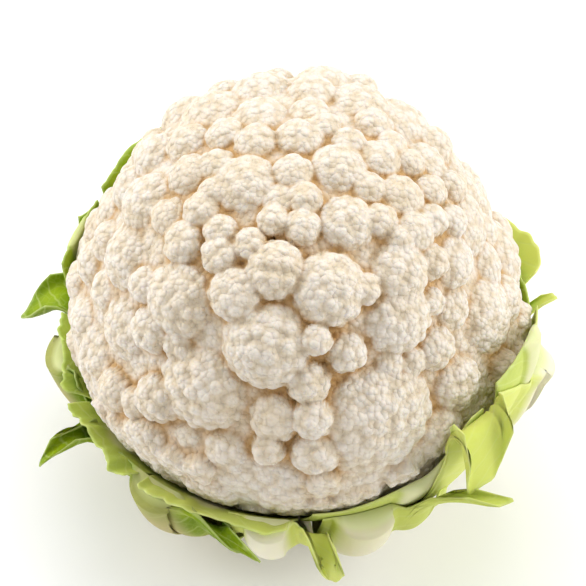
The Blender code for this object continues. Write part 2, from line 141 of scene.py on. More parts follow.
def note_on_points(mesh: bpy.types.Mesh, name: str, values: np.ndarray) -> None:
    """Keeps one number or one triple for each point, for the mesh's material to read.

    Args:
        mesh: The mesh.
        name: The attribute's name.
        values: One value, or one row of three, for each point.
    """
    triple = values.ndim == 2
    kind, key = ("FLOAT_VECTOR", "vector") if triple else ("FLOAT", "value")
    kept = mesh.attributes.new(name, kind, "POINT")
    kept.data.foreach_set(key, values.astype(np.float32).ravel())


def normals_of(mesh: bpy.types.Mesh) -> np.ndarray:
    """Finds the unit normal at each point of a mesh.

    Args:
        mesh: The mesh.

    Returns:
        One row of x, y, z for each point.
    """
    found = np.empty(len(mesh.vertices) * 3, np.float32)
    mesh.vertex_normals.foreach_get("vector", found)
    return found.reshape(-1, 3).astype(float)


def piece(
    name: str, mesh: bpy.types.Mesh, finish: bpy.types.Material, node: str
) -> bpy.types.Object:
    """Makes an object that stands for one CAD node.

    Args:
        name: The object's name.
        mesh: Its mesh.
        finish: Its material.
        node: The CAD node that it replaces.

    Returns:
        The new object.
    """
    made = bpy.data.objects.new(name, mesh)
    bpy.context.scene.collection.objects.link(made)
    mesh.materials.append(finish)
    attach(made, "root")
    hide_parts(node)
    log.info("%s: %d faces", name, len(mesh.polygons))
    return made


@dataclass(frozen=True)
class CurdFlesh:
    """Packed white flower buds: dry, matte and slightly see-through, so light glows in the creases, which are
    also painted darker as painted shade.
    """

    cream: str = "#E9E0D3"
    shade_cream: str = "#E4D7C3"
    painted_crease_shade: str = "#C79C5E"
    painted_fine_crease_shade: str = "#D8C6A6"
    bud_mm: float = 1.9
    bud_rise: float = 1.1 * MM
    grain_mm: float = 0.6
    grain_rise: float = 0.12 * MM
    blotch_mm: float = 26.0

    def make(self) -> bpy.types.Material:
        """Builds the material."""
        made, tree, shader = new_material("curd_of_unopened_flower_buds")
        place = add_node(tree, "ShaderNodeTexCoord").outputs["Object"]
        depth = add_node(tree, "ShaderNodeAttribute", {"attribute_name": "painted_crease_shade"}).outputs["Fac"]
        fine = add_node(tree, "ShaderNodeAttribute", {"attribute_name": "painted_fine_crease_shade"}).outputs["Fac"]
        # Slow warm and cool patches, as on a head that grew partly in the sun.
        blotch = add_node(tree, "ShaderNodeTexNoise", {
            "Scale": 1000 / self.blotch_mm, "Detail": 3.0, "Roughness": 0.55, "Vector": place,
        })  # fmt: skip
        patch = add_node(
            tree, "ShaderNodeMapRange", {"From Min": 0.42, "From Max": 0.68, "Value": blotch.outputs["Fac"]}
        )
        colour = linear(self.cream)
        # The creases and the low places between small lobes are painted a darker warm tan: painted shade.
        for laid_over, share in (
            (self.shade_cream, patch.outputs["Result"]),
            (self.painted_fine_crease_shade, fine),
            (self.painted_crease_shade, depth),
        ):
            layer = add_node(
                tree, "ShaderNodeMix", {"data_type": "RGBA", 0: share, 6: colour, 7: linear(laid_over)}
            )
            colour = layer.outputs[2]
        # Domed clusters of buds, a millimetre or two across, sit on every lobe.
        bud = add_node(
            tree, "ShaderNodeTexVoronoi", {"Scale": 1000 / self.bud_mm, "Randomness": 0.85, "Vector": place}
        )
        away = bud.outputs["Distance"]
        swell = add_node(tree, "ShaderNodeMath", {"operation": "MULTIPLY", 0: away, 1: away})
        # Their skin is grainy: each grain is one flower bud of about half a millimetre.
        grain = add_node(tree, "ShaderNodeTexVoronoi", {
            "feature": "SMOOTH_F1", "Scale": 1000 / self.grain_mm, "Smoothness": 0.35, "Vector": place,
        })  # fmt: skip
        domed = add_node(tree, "ShaderNodeBump", {
            "Strength": 1.0, "Distance": self.bud_rise, "invert": True, "Height": swell.outputs[0],
        })  # fmt: skip
        bump = add_node(tree, "ShaderNodeBump", {
            "Strength": 0.4, "Distance": self.grain_rise, "invert": True,
            "Height": grain.outputs["Distance"], "Normal": domed.outputs["Normal"],
        })  # fmt: skip
        tree.links.new(colour, shader.inputs["Base Color"])
        tree.links.new(bump.outputs["Normal"], shader.inputs["Normal"])
        shader.inputs["Roughness"].default_value = 0.62
        shader.inputs["IOR"].default_value = 1.38
        shader.inputs["Subsurface Weight"].default_value = 0.3
        shader.inputs["Subsurface Radius"].default_value = (1.0, 0.8, 0.5)
        shader.inputs["Subsurface Scale"].default_value = 2.5 * MM
        shader.inputs["Specular IOR Level"].default_value = 0.35
        return made


@dataclass(frozen=True)
class LeafFlesh:
    """A brassica leaf: a juicy pale rib that runs into waxy green wings with pale branching veins."""

    name: str
    wing: str
    dark_wing: str
    light_wing: str
    rib: str
    light_rib: str
    vein: str = "#D3DA94"
    cut: str = "#DCE2A8"
    vein_spacing: float = 9.0 * MM
    vein_width: float = 0.9 * MM
    vein_slant: float = -0.8
    vein_bend: float = 7.0 * MM
    vein_shows: float = 0.28
    vein_sunk: float = 0.25 * MM
    net_mm: float = 3.78
    net_width: float = 0.09
    net_shows: float = 0.08
    blotch_mm: float = 18.0

    def make(self) -> bpy.types.Material:
        """Builds the material."""
        made, tree, shader = new_material(self.name)
        place = add_node(tree, "ShaderNodeTexCoord").outputs["Object"]
        # The mesh keeps where on the leaf each point grew, and how much of it is rib and cut edge.
        kept = []
        for noted in ("leaf_place", "leaf_shape"):
            read = add_node(tree, "ShaderNodeAttribute", {"attribute_name": noted})
            kept.append(add_node(tree, "ShaderNodeSeparateXYZ", {0: read.outputs["Vector"]}).outputs)
        (aside, length, _), (rib, edge, bright) = kept
        wobble = add_node(tree, "ShaderNodeTexNoise", {
            "Scale": 1000 / self.blotch_mm, "Detail": 4.0, "Roughness": 0.6, "Vector": place,
        }).outputs["Fac"]  # fmt: skip
        # Side veins leave the rib at a slant, and finer ones join them crosswise.
        side = add_node(tree, "ShaderNodeMath", {"operation": "ABSOLUTE", 0: aside})
        slant = add_node(tree, "ShaderNodeMath", {
            "operation": "MULTIPLY_ADD", 0: side.outputs[0], 1: self.vein_slant, 2: length,
        })  # fmt: skip
        bent = add_node(tree, "ShaderNodeMath", {
            "operation": "MULTIPLY_ADD", 0: wobble, 1: self.vein_bend, 2: slant.outputs[0],
        })  # fmt: skip
        wave = add_node(
            tree, "ShaderNodeMath", {"operation": "PINGPONG", 0: bent.outputs[0], 1: self.vein_spacing / 2}
        )
        net = add_node(tree, "ShaderNodeTexVoronoi", {
            "feature": "DISTANCE_TO_EDGE", "Scale": 1000 / self.net_mm, "Vector": place,
        })  # fmt: skip
        shown = []
        for away, width, strength in (
            (wave.outputs[0], self.vein_width, self.vein_shows),
            (net.outputs["Distance"], self.net_width, self.net_shows),
        ):
            line = add_node(tree, "ShaderNodeMapRange", {
                "interpolation_type": "SMOOTHSTEP", "From Max": width, "To Min": strength, "To Max": 0.0,
                "Value": away,
            })  # fmt: skip
            shown.append(line.outputs["Result"])
        both = add_node(tree, "ShaderNodeMath", {"operation": "MAXIMUM", 0: shown[0], 1: shown[1]})
        veins = both.outputs[0]
        patch = add_node(tree, "ShaderNodeMapRange", {"From Min": 0.38, "From Max": 0.66, "Value": wobble})
        # A leaf's brightness mixes in the light wing and light rib colours: partly the paler colour of young
        # leaves, partly painted light on leaves that lie in shade.
        pale = add_node(tree, "ShaderNodeMix", {
            "data_type": "RGBA", 0: bright, 6: linear(self.rib), 7: linear(self.light_rib),
        })  # fmt: skip
        colour = linear(self.wing)
        for laid_over, share in (
            (linear(self.dark_wing), patch.outputs["Result"]),
            (linear(self.light_wing), bright),
            (linear(self.vein), veins),
            (pale.outputs[2], rib),
            (linear(self.cut), edge),
        ):
            layer = add_node(
                tree, "ShaderNodeMix", {"data_type": "RGBA", 0: share, 6: colour, 7: laid_over}
            )
            colour = layer.outputs[2]
        bump = add_node(tree, "ShaderNodeBump", {
            "Strength": 0.5, "Distance": self.vein_sunk, "invert": True, "Height": veins,
        })  # fmt: skip
        tree.links.new(colour, shader.inputs["Base Color"])
        tree.links.new(bump.outputs["Normal"], shader.inputs["Normal"])
        shader.inputs["Roughness"].default_value = 0.5
        shader.inputs["IOR"].default_value = 1.42
        shader.inputs["Specular IOR Level"].default_value = 0.1
        shader.inputs["Subsurface Weight"].default_value = 0.25
        shader.inputs["Subsurface Radius"].default_value = (0.7, 1.0, 0.2)
        shader.inputs["Subsurface Scale"].default_value = 1.8 * MM
        return made


@dataclass(frozen=True)
class StalkFlesh:
    """The knife-cut stalk: wet pale pith inside a greener, woodier ring."""

    pith: str = "#F1EFD6"
    ring: str = "#CBD49A"
    skin: str = "#DCE2B4"
    dry: str = "#CDB98A"
    fibre_mm: float = 1.6
    fibre_rise: float = 0.2 * MM

    def make(self) -> bpy.types.Material:
        """Builds the material."""
        made, tree, shader = new_material("knife_cut_stalk_flesh")
        place = add_node(tree, "ShaderNodeTexCoord").outputs["Object"]
        zone = add_node(tree, "ShaderNodeAttribute", {"attribute_name": "stalk_zone"}).outputs["Vector"]
        shares = add_node(tree, "ShaderNodeSeparateXYZ", {0: zone})
        fibres = add_node(
            tree, "ShaderNodeTexNoise", {"Scale": 1000 / self.fibre_mm, "Detail": 3.0, "Vector": place}
        ).outputs["Fac"]
        spots = add_node(
            tree, "ShaderNodeMapRange", {"From Min": 0.55, "From Max": 0.8, "To Max": 0.4, "Value": fibres}
        )
        colour = linear(self.skin)
        for laid_over, share in (
            (self.pith, shares.outputs[0]),
            (self.ring, shares.outputs[1]),
            (self.dry, spots.outputs["Result"]),
        ):
            layer = add_node(
                tree, "ShaderNodeMix", {"data_type": "RGBA", 0: share, 6: colour, 7: linear(laid_over)}
            )
            colour = layer.outputs[2]
        bump = add_node(
            tree, "ShaderNodeBump", {"Strength": 0.4, "Distance": self.fibre_rise, "Height": fibres}
        )
        tree.links.new(colour, shader.inputs["Base Color"])
        tree.links.new(bump.outputs["Normal"], shader.inputs["Normal"])
        shader.inputs["Roughness"].default_value = 0.42
        shader.inputs["Subsurface Weight"].default_value = 0.25
        shader.inputs["Subsurface Radius"].default_value = (1.0, 0.8, 0.4)
        shader.inputs["Subsurface Scale"].default_value = 2.5 * MM
        return made


@dataclass(frozen=True)
class TableTop:
    """A matte white painted table, which the studio light washes out to near white."""

    colour: str = "#FBFBFB"

    def make(self) -> bpy.types.Material:
        """Builds the material."""
        made, _, shader = new_material("matte_white_table_paint")
        shader.inputs["Base Color"].default_value = linear(self.colour)
        shader.inputs["Roughness"].default_value = 0.7
        shader.inputs["Specular IOR Level"].default_value = 0.2
        return made


@dataclass(frozen=True)
class Ball:
    """A ball that a part of the curd is grown on, by its middle from the curd's own middle."""

    middle: tuple[float, float, float]
    radius: float


@dataclass(frozen=True)
class Dome:
    """The plain shape that the florets fill."""

    radius: float = 85 * MM
    rise: float = 81 * MM
    drop: float = 76 * MM
    slim: float = 0.07
    slim_more: float = 0.02
    slim_side: float = 30.0
    shoulder_tilt: float = 66.0
    shoulder_span: float = 27.0

    def reach(self, way: np.ndarray) -> np.ndarray:
        """How far the dome lies from the curd's middle, along unit vectors.

        Args:
            way: The unit vectors.

        Returns:
            One length for each unit vector.
        """
        up = way[..., 2]
        height = np.where(up > 0, self.rise, self.drop)
        reach = 1 / np.sqrt((1 - up * up) / self.radius**2 + up * up / height**2)
        tilt = np.degrees(np.arccos(np.clip(up, -1, 1)))
        azimuth = np.arctan2(way[..., 1], way[..., 0])
        slim = self.slim + self.slim_more * np.cos(azimuth - math.radians(self.slim_side))
        return reach * (1 - slim * soft_step(1 - np.abs(tilt - self.shoulder_tilt) / self.shoulder_span))


# The florets of the front, as an eye sees them from 50 degrees above the table. Each is how far to
# the right and up it lies from the curd's middle, its half width, and how far it stands out, in
# millimetres.
SEEN_FLORETS: tuple[tuple[float, float, float, float], ...] = (
    # The large ones along the bottom and the lower sides.
    (24, -43, 23, 2.5), (6, -46.5, 7, 3), (7, -58.5, 8.5, 2), (4, -33, 7.5, 2), (18, -22, 7, 0.5),
    (-7.5, -45.5, 9, 0), (-5, -65, 15.5, 2), (-25, -57, 8.5, -1), (-48, -62, 16, 2), (-30, -72, 8, 3),
    (-62, -53, 7.5, 2), (-38.5, -52, 6, -3), (25.5, -70, 12, 2.5), (50, -50, 10.5, 1.5), (44, -63, 9, 3),
    # The ring above them.
    (-62.5, -24.5, 19.5, 0.5), (-52.5, -13.5, 8, 1), (-50.5, -39, 8.5, 1.5), (-76.5, -12, 9.5, 0),
    (-31.5, -33, 16.5, 1.5), (-10, -18, 15.5, 3), (7.5, -17.5, 5, 2), (-40.5, -2, 13.5, 1),
    (-22, -0.5, 9.5, 1), (-8, 8, 10, 2.5), (11.5, 1, 12.5, 2.5), (25.5, 1, 5, -1), (36.5, 7, 11, 0.5),
    (35, -8.5, 13, 1), (50, -20.5, 7.5, 0), (56.5, -33.5, 10.5, 0), (64, -9.5, 14.5, 0), (49, -3.5, 4.5, -1),
    (55, 11, 9.5, 0), (67, 9, 8.5, 0), (77, -3, 8.5, 0),
    # The small ones round the top.
    (-18.5, 38, 11, 1), (-1.5, 43.5, 6.5, 0.5), (3, 34, 5.5, 0), (2, 23.5, 6, 0), (18, 24.5, 9.5, 0.5),
    (15, 44, 9.5, 0.5), (-9, 26, 5, 0), (-17.5, 17.5, 5.5, 0.5), (-28, 22, 5.5, 0), (-28, 13.5, 6.5, 0.5),
    (-35, 30, 6, 0.5), (-41.5, 18, 7, 0.5), (-39, 42.5, 7.5, 0.5), (-29.5, 46, 6, 0), (-30.5, 36.5, 5, 0),
    (-15, 54.5, 7, 0.5), (-26, 57, 6.5, 0), (1, 55.5, 8, 0.5), (10.5, 60.5, 5, 0), (19, 54.5, 5.5, 0),
    (28, 60, 6.5, 0), (30, 48, 7, 0.5), (37.5, 34, 8, 0.5), (42.5, 22, 7, 0.5), (30.5, 26, 5.5, 0),
    (38, 19, 4.5, 0), (41, 47, 5, -0.5), (49, 37, 5.5, 0), (49.5, 26, 5.5, 0), (56.5, 26, 5.5, 0),
    (61, 36, 6.5, 0), (67, 22, 6.5, 0), (-53.5, 32, 10.5, 0.5), (-68.5, 29.5, 8.5, 0), (-59, 12.5, 11.5, 0.5),
    (-74.5, 11, 8.5, 0), (-50.5, 49, 8.5, 0), (-55.5, 2.5, 6, 0), (-39.5, 62, 8.5, 0), (49, 52.5, 7.5, 0),
)  # fmt: skip


@dataclass(frozen=True)
class LobePlan:
    """How a floret's ball is covered with lobes, in a spiral round its top."""

    share: float = 0.42
    least: float = 4.2 * MM
    most: float = 9.0 * MM
    spacing: float = 1.05
    sunk: float = 0.82
    flatness: float = 0.8
    lowest: float = -0.15
    fewest: int = 5
    at_top: float = 0.85
    at_side: float = 1.1
    turn: float = 1.3
    packing: float = 0.87
    golden_angle: float = math.pi * (3 - math.sqrt(5))

    def size(self, radius: float) -> float:
        """How large the lobes are on a floret of this radius."""
        return min(max(self.share * radius, self.least), self.most)

    def rise(self, radius: float) -> float:
        """How far a floret of this radius stands out from its middle, over the lobe on its top."""
        lobe = self.at_top * self.size(radius)
        return self.flatness * (radius - self.sunk * lobe) + lobe

    def on(self, floret: Ball, number: int) -> list[Ball]:
        """The lobes of one floret.

        Args:
            floret: The floret's ball.
            number: The floret's place in the list, which turns its spiral.

        Returns:
            The lobes.
        """
        middle = np.array(floret.middle)
        way = middle / np.linalg.norm(middle)
        helper = np.array([0.0, 0.0, 1.0]) if abs(way[2]) < 0.9 else np.array([1.0, 0.0, 0.0])
        first = np.cross(helper, way)
        first /= np.linalg.norm(first)
        second = np.cross(way, first)
        radius = self.size(floret.radius)
        skin = (1 - self.lowest) * 2 * math.pi * floret.radius**2
        count = max(round(skin / (self.packing * (self.spacing * radius) ** 2)), self.fewest)
        lobes = []
        for index in range(count):
            up = 1 - (index + 0.5) / count * (1 - self.lowest)
            aside = math.sqrt(1 - up * up)
            angle = number * self.turn + index * self.golden_angle
            grown = radius * (self.at_top + (self.at_side - self.at_top) * aside)
            across = math.cos(angle) * first + math.sin(angle) * second
            out = self.flatness * up * way + aside * across
            place = middle + (floret.radius - self.sunk * grown) * out
            lobes.append(Ball(tuple(place), grown))
        return lobes


@dataclass(frozen=True)
class FloretPlan:
    """Where the florets stand: those that the front shows, and a rule that fills the rest."""

    eye_elevation: float = 50.0
    eye_distance: float = 800 * MM
    rounds: int = 8
    edge_on: float = 0.985
    seed: int = 7
    tilt_limit: float = 122.0
    tries: int = 6000
    spacing: float = 0.8
    top_width: float = 9.0 * MM
    rim_width: float = 16.0 * MM
    least_width: float = 5.5 * MM
    swell: float = 1.1
    rim_tilt: float = 80.0
    shrink: float = 0.7
    sink_mm: tuple[float, float] = (-2.0, 0.0)
    low_rise: float = 5.0 * MM
    low_tilt: float = 82.0
    low_over: float = 14.0
    lobes: LobePlan = LobePlan()

    def low_rise_at(self, up: np.ndarray | float) -> np.ndarray:
        """How much further the curd stands out low down, where the leaves hold it.

        Args:
            up: The height of a unit vector, or of many.

        Returns:
            One length for each height.
        """
        tilt = np.degrees(np.arccos(np.clip(up, -1, 1)))
        return self.low_rise * soft_step((tilt - self.low_tilt) / self.low_over)

    def seen(self, dome: Dome, across: float, upward: float, half: float, rise: float) -> Ball:
        """The floret that the eye sees at this place.

        Args:
            dome: The plain dome.
            across: How far to the right of the curd's middle, in millimetres.
            upward: How far up the picture, in millimetres.
            half: Its half width in millimetres.
            rise: How far it stands out of the dome in millimetres.

        Returns:
            The ball that the floret is grown on.
        """
        elevation = math.radians(self.eye_elevation)
        toward_eye = np.array([0, -math.cos(elevation), math.sin(elevation)])
        picture_up = np.array([0, math.sin(elevation), math.cos(elevation)])
        seen = (np.array([across, 0, 0]) + upward * picture_up) * MM
        way = toward_eye
        nearer = 1.0
        for _ in range(self.rounds):
            radius = self.swell * half * nearer * MM
            reach = dome.reach(way) + rise * MM - self.lobes.rise(radius)
            aside = seen * nearer
            aside *= min(self.edge_on * reach / np.linalg.norm(aside), 1)
            depth = math.sqrt(reach * reach - aside @ aside)
            nearer = 1 - depth / self.eye_distance
            way = (aside + depth * toward_eye) / reach
        return Ball(tuple(way * reach), radius)

    def all(self, dome: Dome) -> list[Ball]:
        """Every floret: the seen ones first, then those that fill the rest of the dome.

        Args:
            dome: The plain dome.

        Returns:
            The balls that the florets are grown on.
        """
        draw = np.random.default_rng(self.seed)
        florets = [self.seen(dome, *sizes) for sizes in SEEN_FLORETS]
        lowest = math.cos(math.radians(self.tilt_limit))
        for attempt in range(self.tries):
            up = draw.uniform(lowest, 1)
            azimuth = math.radians(draw.uniform(0, 360))
            tilt = math.acos(up)
            wide = min(math.degrees(tilt) / self.rim_tilt, 1)
            widest = self.top_width + (self.rim_width - self.top_width) * wide
            radius = max(widest * (1 - self.shrink * attempt / self.tries), self.least_width)
            across = math.sin(tilt)
            way = np.array([across * math.cos(azimuth), across * math.sin(azimuth), up])
            rise = draw.uniform(*self.sink_mm) * MM
            rise += float(self.low_rise_at(up))
            middle = (dome.reach(way) - self.lobes.rise(radius) + rise) * way
            apart = np.linalg.norm(np.array([f.middle for f in florets]) - middle, axis=1)
            if (apart > self.spacing * (np.array([f.radius for f in florets]) + radius)).all():
                florets.append(Ball(tuple(middle), radius))
        return florets


@dataclass(frozen=True)
class Pebbling:
    """One finer step of the curd's branching: bumps of about one size, packed over the surface."""

    spacing: float
    height: float
    spread: float
    roundness: float
    seed: int
    nearest: int = 3

    def seeds(self, points: np.ndarray) -> np.ndarray:
        """Picks points that lie no closer than the spacing, at random.

        Args:
            points: The points of the surface.

        Returns:
            The numbers of the picked points.
        """
        draw = np.random.default_rng(self.seed)
        cells = np.floor(points / self.spacing).astype(int)
        taken: dict[tuple[int, int, int], list[int]] = {}
        chosen = []
        near = [(a, b, c) for a in (-1, 0, 1) for b in (-1, 0, 1) for c in (-1, 0, 1)]
        closest = self.spacing**2
        order = draw.permutation(len(points))
        rows = points.tolist()
        keys = cells.tolist()
        for index in order.tolist():
            x, y, z = rows[index]
            i, j, k = keys[index]
            free = True
            for a, b, c in near:
                for other in taken.get((i + a, j + b, k + c), ()):
                    u, v, w = rows[other]
                    if (x - u) ** 2 + (y - v) ** 2 + (z - w) ** 2 < closest:
                        free = False
                        break
                if not free:
                    break
            if free:
                taken.setdefault((i, j, k), []).append(index)
                chosen.append(index)
        return np.array(chosen)

    def raised(self, points: np.ndarray) -> np.ndarray:
        """How high each point is raised, from 1 on a bump's top to about 0 in the crease round it.

        Args:
            points: The points of the surface.

        Returns:
            One height for each point.
        """
        draw = np.random.default_rng(self.seed + 1)
        chosen = self.seeds(points)
        tree = KDTree(len(chosen))
        for row, index in enumerate(chosen.tolist()):
            tree.insert(points[index], row)
        tree.balance()
        sizes = draw.uniform(1 - self.spread, 1 + self.spread, len(chosen)).tolist()
        reach = self.roundness * self.spacing
        found = np.empty(len(points))
        for number, point in enumerate(points.tolist()):
            found[number] = min(gap / sizes[row] for _, row, gap in tree.find_n(point, self.nearest))
        return 1 - (found / reach) ** 2


@dataclass
class Curd:
    """The curd: a ball of fine triangles, grown out to florets, lobes, small lobes and buds."""

    middle_height: float = 85 * MM
    dome: Dome = Dome()
    florets: FloretPlan = FloretPlan()
    small_lobes: Pebbling = Pebbling(4.4 * MM, 0.6 * MM, 0.18, 0.62, 11)
    # The ball of triangles.
    pieces_along_edge: int = 142
    quick_pieces: int = 90
    crowding_to_top: float = 0.33
    # The flesh between the florets, as a share of the dome, and the soft creases.
    flesh_depth: float = 0.925
    low_flesh: float = 1.15
    crease_softness: float = 0.2 * MM
    # Where the neck is cut flat, and how far the curd stays off the leaves.
    neck_height: float = 25 * MM
    clear_of_leaves: float = 1.1 * MM
    # How the dome swells behind, by how far a ray points back and up.
    back_rise: float = 2.2 * MM
    back_rise_from: float = 0.1
    back_rise_over: float = 0.5
    back_rise_up: float = 0.4
    # How much closer the florets behind the front ones lie.
    back_from: float = -0.5
    back_over: float = 0.25
    back_fills: float = 0.5
    back_softer: float = 0.35
    # Where the small lobes end on the neck, and the level that they swell from.
    lobes_from: float = -0.62
    lobes_over: float = 0.12
    lobe_level: float = 0.6
    # How deep the creases lie, and how strongly their painted shade shows in the colour.
    depth_rounds: int = 90
    crease_from: float = 0.3 * MM
    crease_over: float = 2.2 * MM
    crease_shade_shows: float = 0.9
    fine_crease_from: float = 0.75
    fine_crease_shade_shows: float = 0.6

    def ball(self) -> tuple[np.ndarray, np.ndarray]:
        """A unit ball of even triangles, a little denser towards the top.

        Returns:
            Its points and its triangles.
        """
        parts = self.pieces_along_edge
        golden = (1 + math.sqrt(5)) / 2
        corners = []
        for a in (-1, 1):
            for b in (-golden, golden):
                corners += [(0, a, b), (a, b, 0), (b, 0, a)]
        corners = np.array(corners) / math.hypot(1, golden)
        edge = min(np.linalg.norm(corners[0] - c) for c in corners[1:]) * 1.01
        sides = [
            (i, j, k)
            for i in range(12) for j in range(i + 1, 12) for k in range(j + 1, 12)
            if max(np.linalg.norm(corners[p] - corners[q]) for p, q in ((i, j), (j, k), (i, k))) < edge
        ]  # fmt: skip
        rows, columns = np.array([(i, j) for i in range(parts + 1) for j in range(parts + 1 - i)]).T
        number = {(i, j): n for n, (i, j) in enumerate(zip(rows.tolist(), columns.tolist()))}
        small = []
        for i in range(parts):
            for j in range(parts - i):
                small.append((number[i, j], number[i + 1, j], number[i, j + 1]))
                if i + j < parts - 1:
                    small.append((number[i + 1, j], number[i + 1, j + 1], number[i, j + 1]))
        small = np.array(small)
        third = parts - rows - columns
        points = []
        faces = []
        for i, j, k in sides:
            a, b, c = corners[i], corners[j], corners[k]
            turned = np.dot(np.cross(b - a, c - a), a) < 0
            if turned:
                b, c = c, b
            flat = (rows[:, None] * b + columns[:, None] * c + third[:, None] * a) / parts
            faces.append(small + len(points) * len(rows))
            points.append(flat)
        points = np.vstack(points)
        faces = np.vstack(faces)
        points /= np.linalg.norm(points, axis=1, keepdims=True)
        _, first, place = np.unique(np.round(points, 6), axis=0, return_index=True, return_inverse=True)
        points = points[first] + np.array([0, 0, self.crowding_to_top])
        points /= np.linalg.norm(points, axis=1, keepdims=True)
        return points, place.ravel()[faces]

    def reach_over(self, ways: np.ndarray, lobes: list[Ball]) -> np.ndarray:
        """How far out each ray from the curd's middle leaves the last lobe that it crosses.

        Args:
            ways: Unit vectors.
            lobes: The lobes.

        Returns:
            One length for each unit vector.
        """
        tree = KDTree(len(ways))
        for index, way in enumerate(ways.tolist()):
            tree.insert(way, index)
        tree.balance()
        most = np.zeros(len(ways))
        crossed = []
        for lobe in lobes:
            middle = np.array(lobe.middle)
            far = float(np.linalg.norm(middle))
            span = 2 * math.sin(math.asin(min(lobe.radius / far, 1)) / 2)
            hit = np.array([index for _, index, _ in tree.find_range(middle / far, span)], int)
            if len(hit) == 0:
                continue
            along = ways[hit] @ middle
            out = along + np.sqrt(np.maximum(along**2 - far**2 + lobe.radius**2, 0))
            crossed.append((hit, out))
            most[hit] = np.maximum(most[hit], out)
        near = np.zeros(len(ways))
        for hit, out in crossed:
            near[hit] += np.exp((out - most[hit]) / self.crease_softness)
        return most + self.crease_softness * np.log(np.maximum(near, 1))

    def smoothed(self, values: np.ndarray, edges: np.ndarray, rounds: int) -> np.ndarray:
        """Spreads values over the mesh by averaging each point with its neighbours.

        Args:
            values: One value for each point.
            edges: Pairs of point numbers.
            rounds: How many times.

        Returns:
            The spread values.
        """
        count = len(values)
        ends = np.bincount(edges.ravel(), minlength=count)
        for _ in range(rounds):
            total = np.bincount(edges[:, 0], values[edges[:, 1]], count)
            total += np.bincount(edges[:, 1], values[edges[:, 0]], count)
            values = 0.5 * values + 0.5 * total / ends
        return values

    def build(self, finish: bpy.types.Material, line: "LeafLine") -> bpy.types.Object:
        """Builds the curd.

        Args:
            finish: Its material.
            line: The line that the leaves follow, which the curd stays inside.

        Returns:
            The curd's object.
        """
        ways, faces = self.ball()
        lobes = []
        for number, floret in enumerate(self.florets.all(self.dome)):
            lobes += self.florets.lobes.on(floret, number)
        reach = self.reach_over(ways, lobes)
        low = self.low_flesh * self.florets.low_rise_at(ways[:, 2])
        reach = np.maximum(reach, self.dome.reach(ways) * self.flesh_depth + low)
        behind = soft_step((ways[:, 1] - self.back_rise_from) / self.back_rise_over)
        reach = reach + self.back_rise * behind * soft_step(ways[:, 2] / self.back_rise_up)
        neck = self.middle_height - self.neck_height
        reach = np.where(ways[:, 2] < 0, np.minimum(reach, neck / np.maximum(-ways[:, 2], 1e-6)), reach)
        reach = np.minimum(reach, line.reach_from(self.middle_height, ways) - self.clear_of_leaves)
        mesh = mesh_from("curd_florets", ways * reach[:, None], faces)
        edges = np.empty(len(mesh.edges) * 2, np.int32)
        mesh.edges.foreach_get("vertices", edges)
        edges = edges.reshape(-1, 2)
        depth = self.smoothed(reach, edges, self.depth_rounds) - reach
        # Behind the front florets the others lie closer, with shallower creases and softer lobes.
        back = soft_step((ways[:, 1] - self.back_from) / self.back_over)
        reach = reach + self.back_fills * back * np.maximum(depth, 0)
        points = ways * reach[:, None]
        # Bumps fade out on the hidden neck, so that it stays flat.
        fade = soft_step((ways[:, 2] - self.lobes_from) / self.lobes_over)
        raised = self.small_lobes.raised(points)
        height = self.small_lobes.height * fade * (1 - self.back_softer * back)
        mesh.vertices.foreach_set("co", points.astype(np.float32).ravel())
        mesh.update()
        points = points + normals_of(mesh) * ((raised - self.lobe_level) * height)[:, None]
        points = points + np.array([0, 0, self.middle_height])
        mesh.vertices.foreach_set("co", points.astype(np.float32).ravel())
        mesh.update()
        # Painted shade: the deeper a point lies in the creases, and the lower it lies between small lobes,
        # the darker tan it is painted.
        painted_crease_shade = self.crease_shade_shows * soft_step((depth - self.crease_from) / self.crease_over)
        painted_fine_crease_shade = self.fine_crease_shade_shows * soft_step(self.fine_crease_from - raised)
        note_on_points(mesh, "painted_crease_shade", painted_crease_shade)
        note_on_points(mesh, "painted_fine_crease_shade", painted_fine_crease_shade)
        return piece("curd_florets", mesh, finish, "curd")


